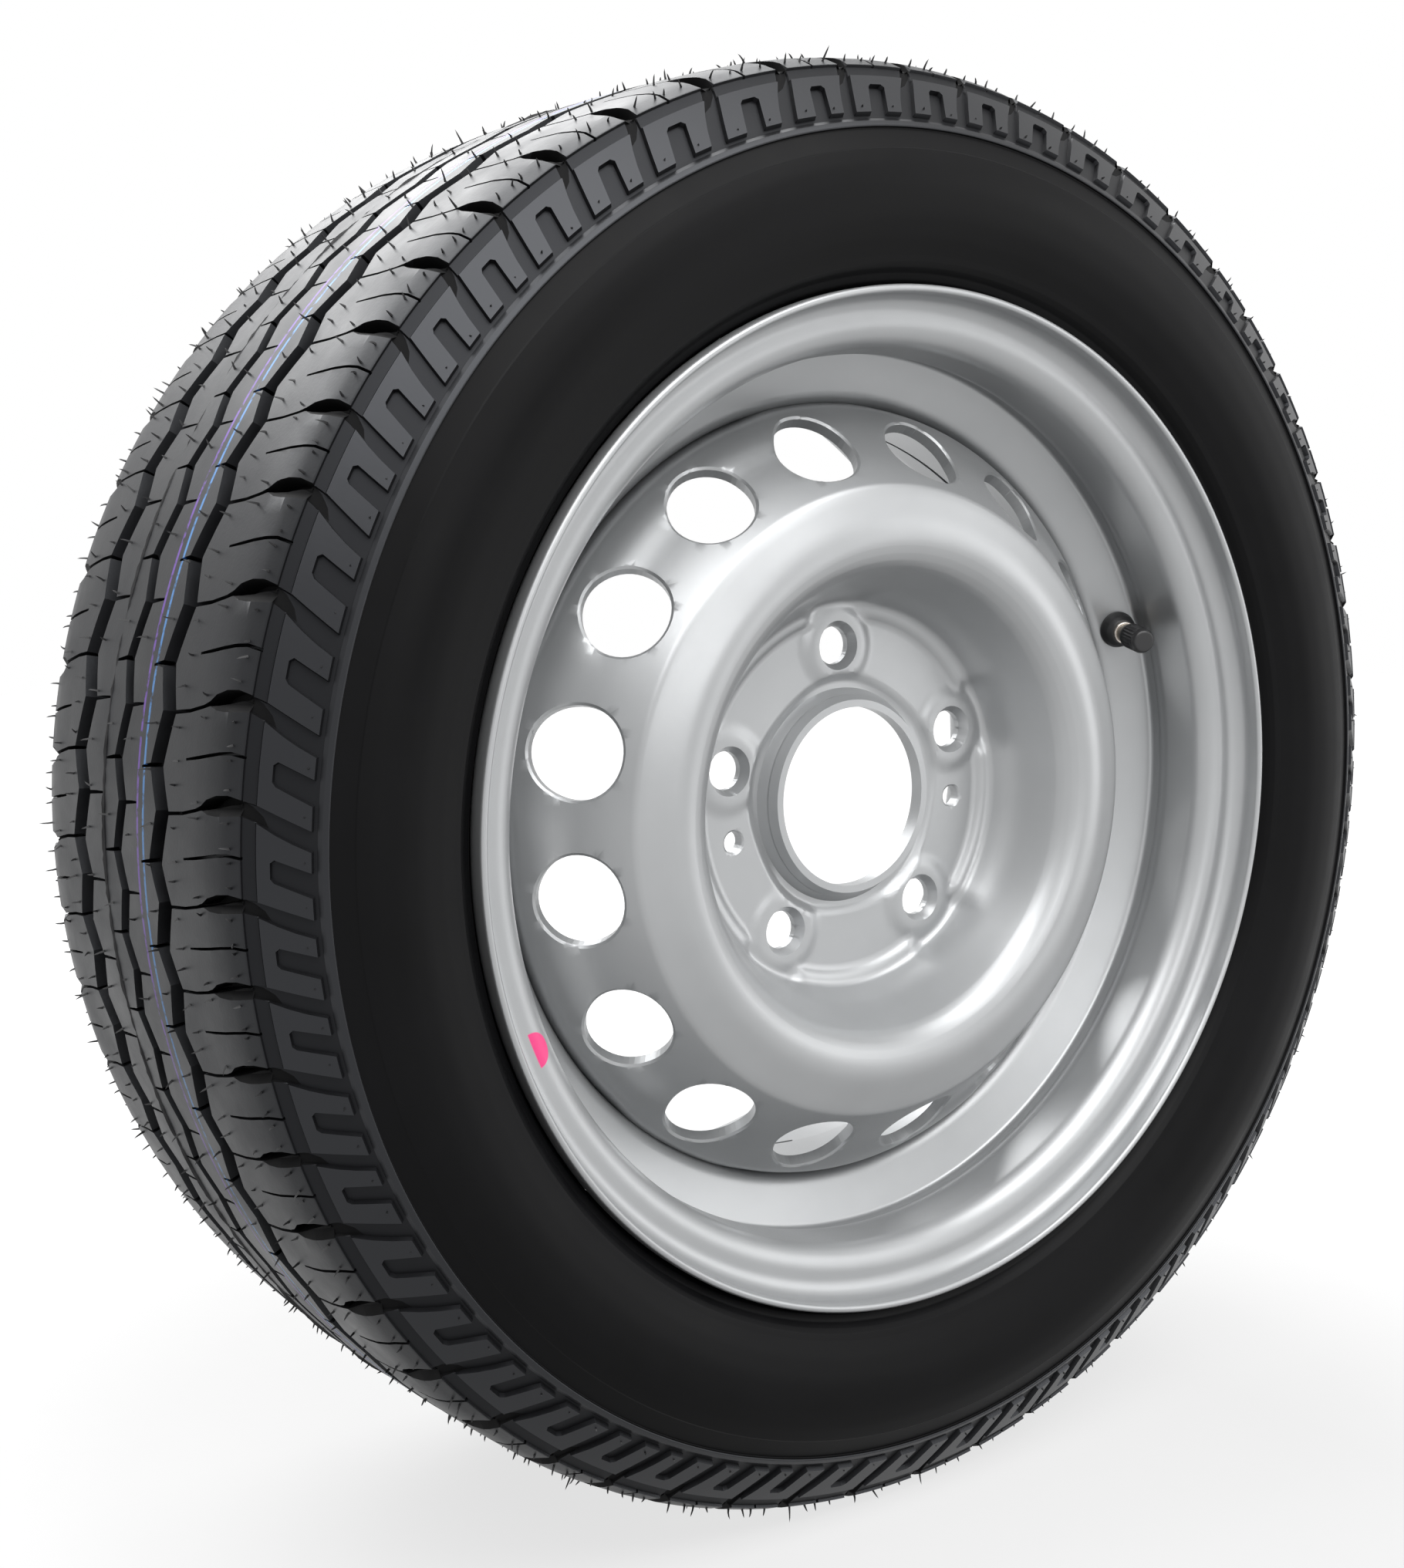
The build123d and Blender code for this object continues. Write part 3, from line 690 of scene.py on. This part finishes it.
def build_hairs():
    """Moulding hairs on every pitch, each a little different."""
    verts, faces, count = [], [], 0
    places = [(x, s, HAIR_LENGTH) for x, s in HALF_HAIRS] + [(x, s, STUB_LENGTH) for x, s in HALF_STUBS]
    for start, length in pitch_starts():
        for x, s, reach in places:
            for share, side in ((OUT_CORNER + x / PITCH, -1), (IN_CORNER - x / PITCH, 1)):
                angle = start + (share + rng.uniform(-HAIR_STRAY, HAIR_STRAY)) * length
                across = side * (s + rng.uniform(-HAIR_OFF, HAIR_OFF))
                tall = rng.uniform(*reach)
                at, turned = np.array([across]), np.array([angle])
                foot, tip = (on_tyre(at, np.array([d]), turned)[0] for d in (HAIR_SUNK, -tall))
                lean = HAIR_LEAN * tall * drawn(3)
                bend = HAIR_BEND * tall * drawn(3)
                v, f = hair(foot, tip + lean, bend)
                verts.append(v)
                faces += [tuple(count + k for k in face) for face in f]
                count += len(v)
    new_piece("tread_hairs", np.concatenate(verts), faces, "wheel", HAIR, 60)


def build_fin():
    """Ragged fin round the tread, which drops to nothing where it broke off."""
    angle = np.arange(FIN_STEPS) * 2 * math.pi / FIN_STEPS
    height, run = [], FIN_START
    for _ in range(FIN_STEPS):
        run = min(1.0, max(0.0, run + rng.uniform(-FIN_CHANGE, FIN_CHANGE)))
        height.append(FIN_HEIGHT * run)
    drift = FIN_DRIFT * drawn(FIN_STEPS)
    sunk = np.full(FIN_STEPS, FIN_SUNK)
    rows = [
        on_tyre(np.full(FIN_STEPS, FIN_PLACE - FIN_HALF), sunk, angle),
        on_tyre(FIN_PLACE + drift, -np.array(height), angle),
        on_tyre(np.full(FIN_STEPS, FIN_PLACE + FIN_HALF), sunk, angle),
    ]
    faces = []
    for k in range(FIN_STEPS):
        m = (k + 1) % FIN_STEPS
        for low in (0, FIN_STEPS):
            high = low + FIN_STEPS
            faces.append((low + k, high + k, high + m, low + m))
    new_piece("parting_fin", np.concatenate(rows), faces, "wheel", HAIR, 30)


build_tread()
build_sides()
build_hairs()
build_fin()


# Rim

FLANGE_TOP, FLANGE_FACE, LIP, LIP_R = 182.0, 76.2, 89.0, 1.4
RIM_T, SEAT_R, SEAT_TAPER = 2.8, 164.7, math.radians(5)
HUMP_AT, HUMP_FOOT, HUMP_HEIGHT = 53.2, 57.5, 2.6
WELL_R, WELL_END, WELL_STEP, STEP_LEAN = 146.4, 6.0, -46.5, math.radians(23.5)
LEDGE_START, LEDGE_END = 20.0, 49.2


def seat(y):
    """Radius of the tapered bead seat at a place along the axis."""
    return SEAT_R - (FLANGE_FACE - abs(y)) * math.tan(SEAT_TAPER)


def rim_path():
    """The rim's tyre side, from the outboard lip to the inboard one."""
    top = seat(HUMP_AT) + HUMP_HEIGHT
    foot = WELL_STEP + (top - WELL_R) * math.tan(STEP_LEAN)
    ledge = seat(HUMP_AT)
    out = [
        (FLANGE_TOP, LIP), (FLANGE_TOP, FLANGE_FACE), (seat(FLANGE_FACE), FLANGE_FACE),
        (seat(HUMP_FOOT), HUMP_FOOT), (top, HUMP_AT),
    ]
    left = [(r, -y) for r, y in out]
    well = [(top, WELL_STEP), (WELL_R, foot), (WELL_R, WELL_END), (ledge, LEDGE_START), (ledge, LEDGE_END)]
    radii = [9.5, 6.5, 6, 4] + [5, 6, 6, 8, 6] + [4, 6, 6.5, 9.5]
    return fillet(left + well + out[::-1], radii, 0.1)


def rim_lip(side):
    """Round end of the flange."""
    centre = np.array([FLANGE_TOP - LIP_R, side * LIP])
    turn = np.linspace(-math.pi / 2, math.pi / 2, 9)[1:-1]
    return [centre + LIP_R * np.array([math.sin(t), side * math.cos(t)]) for t in turn]


def build_rim():
    tyre_side = rim_path()
    visible = tyre_side + normals_of(tyre_side) * RIM_T
    loop = np.concatenate([tyre_side, rim_lip(1)[::-1], visible[::-1], rim_lip(-1)])
    verts, faces = lathe(loop, ROUND, closed=True)
    obj = new_piece("rim_shell", verts, faces, "wheel", SILVER, 40, ("rim",))
    fix_normals(obj)


build_rim()


# Disc: a pressed sheet laid out by the length along its section and the angle

DISC_T, LAND, LIP_END, DISC_R = 4.5, -44.5, -49.7, 143.5
BOLT_R, BOLT_HOLE, BOLT_SEAT, SEAT_DEPTH = 56.0, 7.0, 9.0, 3.4
PAD_R, PAD_HEIGHT = 14.5, 1.3
MOAT_SIDE, MOAT_CORNER, MOAT_DEPTH = 42.5, 44.5, 1.8
BORE_R, COLLAR_R, COLLAR_LIP, COLLAR_RUN = 33.3, 37.8, 1.8, 3.0
LAND_FROM, LAND_TO = 38.6, 71.5
FOOT_RAMP, FOOT_FROM, FOOT_REACH = 2.2, 64.5, 4.0
FOOT_SWELL, SWELL_FROM, SWELL_REACH, SWELL_HALF, SWELL_EASE = 0.8, 62, 8, 0.25, 0.12
FADE_Y, FADE_REACH = 58, 12
MOAT_EASE, PAD_EASE = 2.2, 3.0
BOLTS = [math.radians(95 + 72 * k) for k in range(5)]
PILOT_R, PILOT_HOLE, PILOT_EDGE = 53.5, 4.0, 4.7
PILOTS = [math.radians(95 + a) for a in (99.5, 260.5)]
VENTS = [math.radians(101.4 + 22.5 * k) for k in range(16)]
CUT = math.radians(112.65)
VENT_AT, VENT_HOLE, VENT_EDGE = 128.8, 16.0, 16.9
BOLT_SIDES, PILOT_SIDES, VENT_SIDES = 40, 20, 48
SHEET_R, SHEET_STRIPS, SHEET_ROWS, ROW_GAP = 100.0, 240, 3.0, 0.5
SEAM_TOLERANCE = 1e-4

DISC_SECTION = [
    (COLLAR_R, LIP_END), (COLLAR_R, LAND), (71.0, LAND), (89.0, -82.0), (114.0, -73.5),
    (DISC_R, -40.5), (DISC_R, -14.0),
]
disc_path = fillet(DISC_SECTION, [1.5, 4.0, 15.0, 5.0, 8.0], 0.1)
disc_s = lengths_of(disc_path)
disc_n = -normals_of(disc_path)


def section_place(radius, part):
    """Length along the section of a radius, on the land or on the slope."""
    r, y = disc_path[:, 0], disc_path[:, 1]
    keep = (y > LAND - 1) & (r > 38.5) & (r < 72) if part == "land" else r > 112
    return float(np.interp(radius, r[keep], disc_s[keep]))


def unwrap(angle):
    """Angle from the seam of the sheet."""
    return (angle - CUT) % (2 * math.pi)


def land_circle(angle, circle, radius, count):
    """Round hole in the land, laid out on the sheet."""
    t = np.linspace(0, 2 * math.pi, count, endpoint=False)
    u, v = circle + radius * np.cos(t), radius * np.sin(t)
    r, a = np.hypot(u, v), np.arctan2(v, u)
    place = np.array([section_place(x, "land") for x in r])
    return np.stack([place, (unwrap(angle) + a) * SHEET_R], axis=1)


def slope_circle(angle, radius):
    """Round vent hole in the slope, laid out on the sheet."""
    t = np.linspace(0, 2 * math.pi, VENT_SIDES, endpoint=False)
    mid = section_place(VENT_AT, "slope")
    place = mid + radius * np.cos(t)
    r = np.interp(place, disc_s, disc_path[:, 0])
    return np.stack([place, (unwrap(angle) + radius * np.sin(t) / r) * SHEET_R], axis=1)


def near_bolt(angle):
    """Signed distance round the circle to the nearest bolt, in radians."""
    d = np.stack([(angle - b + math.pi) % (2 * math.pi) - math.pi for b in BOLTS])
    return d[np.argmin(np.abs(d), axis=0), np.arange(d.shape[1])]


def smooth(t):
    """Soft step from 0 to 1."""
    t = np.clip(t, 0, 1)
    return t * t * (3 - 2 * t)


def disc_surface(place, angle):
    """Sheet points, normals, what is pressed into the front only, and how far its edges are eased."""
    r = np.interp(place, disc_s, disc_path[:, 0])
    y = np.interp(place, disc_s, disc_path[:, 1])
    nr = np.interp(place, disc_s, disc_n[:, 0])
    ny = np.interp(place, disc_s, disc_n[:, 1])
    d = near_bolt(angle)
    off_collar = (r > 38) & (place > 6)
    swell = smooth((SWELL_HALF - np.abs(d)) / SWELL_EASE)
    fade = off_collar * smooth((y + FADE_Y) / FADE_REACH)
    y = y - (1 - swell) * FOOT_RAMP * smooth((r - FOOT_FROM) / FOOT_REACH) * fade
    r = r + swell * FOOT_SWELL * smooth((r - SWELL_FROM) / SWELL_REACH) * fade
    edge = MOAT_SIDE + (MOAT_CORNER - MOAT_SIDE) * (0.5 + 0.5 * np.cos(5 * d))
    moat = off_collar * fade * smooth((edge + MOAT_EASE - r) / (2 * MOAT_EASE))
    reach = np.hypot(r * np.cos(d) - BOLT_R, r * np.sin(d))
    pad = off_collar * fade * smooth((PAD_R + PAD_EASE - reach) / (2 * PAD_EASE)) * (1 - moat)
    drop = fade * np.clip((BOLT_SEAT - reach) / (BOLT_SEAT - BOLT_HOLE), 0, 1) * SEAT_DEPTH
    lip = COLLAR_LIP * np.clip(1 - place / COLLAR_RUN, 0, 1) ** 2
    return r, y, nr, ny, moat * MOAT_DEPTH - pad * PAD_HEIGHT, np.maximum(drop, lip)


def sheet_holes():
    """Outlines on the sheet: edges round the holes, and the holes of the bolts, pilots and vents."""
    edges = []
    for a in BOLTS:
        edges += [land_circle(a, BOLT_R, radius, BOLT_SIDES) for radius in (BOLT_SEAT + 0.3, BOLT_SEAT)]
    edges += [land_circle(a, PILOT_R, PILOT_EDGE, PILOT_SIDES) for a in PILOTS]
    edges += [slope_circle(a, VENT_EDGE) for a in VENTS]
    bolts = [land_circle(a, BOLT_R, BOLT_HOLE, BOLT_SIDES) for a in BOLTS]
    pilots = [land_circle(a, PILOT_R, PILOT_HOLE, PILOT_SIDES) for a in PILOTS]
    return edges, bolts, pilots, [slope_circle(a, VENT_HOLE) for a in VENTS]


def sheet_lines(total):
    """Lines along and across the sheet, closer together on the land and in the bends."""
    land = np.arange(section_place(LAND_FROM, "land"), section_place(LAND_TO, "land"), 1.5)
    rows = np.unique(np.concatenate([disc_s[::2], disc_s[-1:], land, np.arange(0, disc_s[-1], SHEET_ROWS)]))
    rows = rows[np.concatenate([[True], np.diff(rows) > ROW_GAP])]
    rows[-1] = disc_s[-1]
    lines = [[(s, 0), (s, total)] for s in rows]
    strips = [total * k / SHEET_STRIPS for k in range(SHEET_STRIPS + 1)]
    return lines + [[(0, x), (disc_s[-1], x)] for x in strips]


def ease_edge(drop, points, angle, hole, reach, depth, run, power):
    """Rounds a hole's front edge, by sinking the points next to it."""
    close = np.flatnonzero(np.abs(points[:, 1] - unwrap(angle) * SHEET_R) < reach)
    gap = edge_distance(points[close], hole)
    drop[close] = np.maximum(drop[close], depth * np.clip(1 - gap / run, 0, 1) ** power)


def build_disc():
    total = 2 * math.pi * SHEET_R
    edges, bolts, pilots, vents = sheet_holes()
    holes = bolts + pilots + vents
    points, tris = triangulate(edges + holes, sheet_lines(total))
    middle = points[tris].mean(axis=1)
    keep = np.ones(len(tris), bool)
    for hole in holes:
        low, high = hole.min(0) - 1, hole.max(0) + 1
        close = np.flatnonzero(((middle > low) & (middle < high)).all(1))
        keep[close[inside(middle[close], hole)]] = False
    used, tris = np.unique(tris[keep], return_inverse=True)
    tris = tris.reshape(-1, 3)
    points = points[used]
    angle = points[:, 1] / SHEET_R + CUT
    r, y, nr, ny, pressed, drop = disc_surface(points[:, 0], angle)
    for a, hole in zip(VENTS, vents):
        ease_edge(drop, points, a, hole, reach=20, depth=0.7, run=0.9, power=2)
    for a, hole in zip(PILOTS, pilots):
        ease_edge(drop, points, a, hole, reach=16, depth=0.5, run=0.7, power=1)
    front = around(r - nr * drop, y + pressed - ny * drop, angle)
    back_r, back_y = r - nr * DISC_T, y - ny * DISC_T
    corner = section_place(40.0, "land")
    bore = points[:, 0] <= corner
    back_r[bore] = BORE_R
    back_y[bore] = LIP_END + points[bore, 0] / corner * (LAND + DISC_T - LIP_END)
    back = around(back_r, back_y, angle)
    first = np.flatnonzero(points[:, 1] < SEAM_TOLERANCE)
    last = np.flatnonzero(points[:, 1] > total - SEAM_TOLERANCE)
    index = np.arange(len(points))
    index[last[np.argsort(points[last, 0])]] = first[np.argsort(points[first, 0])]
    tris = index[tris]
    n = len(points)
    pairs = np.sort(np.concatenate([tris[:, [0, 1]], tris[:, [1, 2]], tris[:, [2, 0]]]), axis=1)
    unique, counts = np.unique(pairs, axis=0, return_counts=True)
    walls = [(a, b, b + n, a + n) for a, b in unique[counts == 1]]
    faces = [tuple(t) for t in tris] + [tuple(t + n) for t in tris[:, ::-1]] + walls
    verts = np.concatenate([front, back])
    obj = new_piece("disc_sheet", verts, faces, "wheel", SILVER, 30, ("wheel_disc",))
    fix_normals(obj)


build_disc()


# Valve: rubber button and ribbed cap, turned about the valve's own axis

VALVE_ANGLE, VALVE_LEAN = math.radians(22.0), math.radians(23.5)
VALVE_FOOT = around(154.5, -44.86, np.array(VALVE_ANGLE))
VALVE_AXIS = around(-math.sin(VALVE_LEAN), -math.cos(VALVE_LEAN), np.array(VALVE_ANGLE))
CAP_RIBS, RIB_DEPTH, CAP_BOTTOM, CAP_TOP = 24, 0.035, 13.0, 26.0
CAP_BORE, CAP_OUT, CAP_TIP, CAP_TAPER = 4.1, 5.1, 4.1, 2.0
VALVE_SIDES, COIL_END = 48, 0.0004


def on_valve(verts):
    """Points made about Y from the rim's face, moved to the valve's axis."""
    turn = Vector((0, 1, 0)).rotation_difference(Vector(VALVE_AXIS)).to_matrix()
    return np.asarray(verts) @ np.array(turn).T + VALVE_FOOT


def build_button():
    """Rubber body, with the sizes of the CAD one and softer edges."""
    points = [
        (2.95, -11.0), (6.7, -11.0), (9.25, -4.2), (9.25, -2.95), (5.6, -2.95), (5.6, 0.15),
        (7.3, 0.15), (7.3, 1.6), (6.4, 4.6), (4.8, 6.5), (2.95, 6.5),
    ]
    path = fillet(points, [1.0, 1.5, 0.4, 0, 0, 0.2, 0.6, 2.5, 1.0], 0.2)
    verts, faces = lathe(path, VALVE_SIDES, closed=True)
    verts = on_valve(verts)
    obj = new_piece("valve_button", verts, faces, "wheel", VALVE, 50, ("valve_body",))
    fix_normals(obj)


def build_cap():
    """Cap with the sizes of the CAD one, and fine grip ribs that fade out towards its tapered end."""
    ribs_low, ribs_high = CAP_BOTTOM + 1.8, CAP_TOP - CAP_TAPER - 0.2
    points = [
        (CAP_BORE, CAP_TOP - 1.8), (CAP_BORE, CAP_BOTTOM), (CAP_OUT - 0.3, CAP_BOTTOM),
        (CAP_OUT, ribs_low - 0.2), (CAP_OUT, ribs_high + 0.2), (CAP_TIP, CAP_TOP), (0.0, CAP_TOP),
    ]
    path = fillet(points, [0, 0.3, 0.3, 1.6, 1.2], 0.25)
    extra = [(CAP_OUT, y) for y in np.linspace(ribs_low, ribs_high, 4)[:3] + 0.2]
    at = 2 + int(np.argmax(path[2:, 1] > ribs_low))
    path = np.concatenate([path[:at], extra, path[at:]])
    verts, faces = lathe(path, CAP_RIBS * 4)
    radius = np.hypot(verts[:, 0], verts[:, 2])
    angle = np.arctan2(verts[:, 2], verts[:, 0])
    ribbed = (radius > 4.8) & (verts[:, 1] > ribs_low + 0.1) & (verts[:, 1] < ribs_high)
    scale = np.where(ribbed, 1 - RIB_DEPTH * (1 - np.cos(CAP_RIBS * angle)), 1.0)
    verts = verts * np.stack([scale, np.ones(len(scale)), scale], axis=1)
    obj = new_piece("cap_ribbed", on_valve(verts), faces, "cap", CAP, 40, ("valve_cap",))
    fix_normals(obj)


def build_collar():
    """Bright ring where the metal neck leaves the rubber."""
    path = fillet([(3.4, 6.2), (4.5, 6.2), (4.5, 8.2), (3.4, 8.2)], [0.3, 0.5], 0.3)
    verts, faces = lathe(path, VALVE_SIDES, closed=True)
    fix_normals(new_piece("neck_collar", on_valve(verts), faces, "wheel", COLLAR, 40))


def build_coil():
    """The core's spring, a copy of the CAD one with the steel look."""
    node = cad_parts["core_spring"]
    mesh = node.data.copy()
    mesh.transform(node.matrix_world)
    mesh.materials.clear()
    mesh.materials.append(STEEL)
    obj = bpy.data.objects.new("core_coil", mesh)
    bpy.context.scene.collection.objects.link(obj)
    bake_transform(obj)
    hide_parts("core_spring")


build_button()
build_collar()
build_cap()
build_coil()


# Looks of the CAD pieces that stay

LOOKS = {
    "disc_welds": SILVER, "valve_stem": NECK, "cap_washer": VALVE, "core_plug": BRASS, "core_barrel": BRASS,
    "core_gasket": VALVE, "core_pin": BRASS, "plunger_seal": VALVE, "plunger_cup": BRASS,
}
for node, look in LOOKS.items():
    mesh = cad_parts[node].data
    mesh.materials.clear()
    mesh.materials.append(look)


# Stage: pale floor, soft light, white background and the camera

FLOOR_HALF = 4.0
GLOW_REACH, GLOW = (0.25, 0.75), (0.74, 1.0)
BACKGROUND_RAYS = ("Is Camera Ray", "Is Glossy Ray", "Is Transmission Ray")
ROOM_LIGHT = 0.06
LAMPS = (
    ("top", (-0.2, 0.9, 1.5), (2.2, 2.0), 66),
    ("front", (-0.2, -1.05, 1.4), (2.2, 1.2), 38),
    ("low", (0.1, -2.0, 0.5), (0.9, 0.45), 5),
    ("right", (1.5, -1.2, 0.3), (0.9, 1.4), 7),
)
AZ, EL, DIST, SHIFT_X, SHIFT_Y, FOCUS = -35.93, 6.87, 816.9, 27.21, 0.19, 2718.4
PHOTO_HEIGHT, SENSOR = 2033, 36


def background_rays(owner):
    """1 for the rays that see the white background, 0 for all others."""
    path = add(owner, "ShaderNodeLightPath")
    shown = path.outputs[BACKGROUND_RAYS[0]]
    for ray in BACKGROUND_RAYS[1:]:
        both = add(owner, "ShaderNodeMath", operation="ADD", use_clamp=True)
        link(owner, shown, both.inputs[0])
        link(owner, path.outputs[ray], both.inputs[1])
        shown = both.outputs[0]
    return shown


def floor_white():
    """Matt floor that glows away from the wheel, to meet the white background."""
    m = material("floor_white", (0.14, 0.14, 0.14), 0.9, 0.0, 0.1)
    grey = varied(m, noise(m, 60, 2), (0.137, 0.137, 0.137), (0.143, 0.143, 0.143))
    link(m, grey, bsdf(m, "Base Color"))
    where = add(m, "ShaderNodeTexCoord")
    away = add(m, "ShaderNodeVectorMath", operation="LENGTH")
    link(m, where.outputs["Object"], away.inputs[0])
    glow = ranged(m, away.outputs["Value"], *GLOW_REACH, *GLOW)
    bsdf(m, "Emission Color").default_value = (1, 1, 1, 1)
    link(m, times(m, glow, background_rays(m)), bsdf(m, "Emission Strength"))
    return m


def build_floor():
    mesh = bpy.data.meshes.new("floor")
    corners = [(FLOOR_HALF * x, FLOOR_HALF * y, 0) for x, y in ((-1, -1), (1, -1), (1, 1), (-1, 1))]
    mesh.from_pydata(corners, [], [(0, 1, 2, 3)])
    floor = bpy.data.objects.new("floor", mesh)
    floor.location.z = cad_low.z
    bpy.context.scene.collection.objects.link(floor)
    mesh.materials.append(floor_white())


def soft_light(name, place, size, power):
    """Area lamp that points at the wheel's centre."""
    data = bpy.data.lights.new(name, "AREA")
    data.shape = "RECTANGLE"
    data.size, data.size_y = size
    data.energy = power
    obj = bpy.data.objects.new(name, data)
    obj.location = place
    obj.rotation_euler = (-Vector(place)).to_track_quat("-Z", "Y").to_euler()
    bpy.context.scene.collection.objects.link(obj)


def build_world():
    """White where the background is seen, and a dim room for all other rays."""
    world = bpy.data.worlds.new("world")
    bpy.context.scene.world = world
    world.use_nodes = True
    world.node_tree.nodes.clear()
    mix = add(world, "ShaderNodeMixShader")
    link(world, background_rays(world), mix.inputs[0])
    for place, strength in ((1, ROOM_LIGHT), (2, 1.0)):
        shade = add(world, "ShaderNodeBackground")
        shade.inputs["Color"].default_value = (1, 1, 1, 1)
        shade.inputs["Strength"].default_value = strength
        link(world, shade.outputs[0], mix.inputs[place])
    link(world, mix.outputs[0], add(world, "ShaderNodeOutputWorld").inputs[0])


def build_camera():
    """The photograph's camera, fitted to the rim's and the tyre's ellipses."""
    turn, rise = math.radians(AZ), math.radians(EL)
    back = Vector((math.sin(turn) * math.cos(rise), -math.cos(turn) * math.cos(rise), math.sin(rise)))
    right = Vector((math.cos(turn), math.sin(turn), 0))
    up = back.cross(right)
    data = bpy.data.cameras.new("camera")
    data.sensor_fit = "AUTO"
    data.sensor_width = SENSOR
    data.lens = FOCUS / PHOTO_HEIGHT * SENSOR
    data.clip_start, data.clip_end = 0.01, 50
    camera = bpy.data.objects.new("camera", data)
    rows = [(right[k], up[k], back[k], 0) for k in range(3)]
    camera.matrix_world = Matrix(rows + [(0, 0, 0, 1)])
    camera.location = (DIST * back - SHIFT_X * right - SHIFT_Y * up) * MM
    bpy.context.scene.collection.objects.link(camera)
    bpy.context.scene.camera = camera


build_floor()
for lamp in LAMPS:
    soft_light(*lamp)
build_world()
build_camera()
bpy.context.scene.view_settings.view_transform = "Standard"
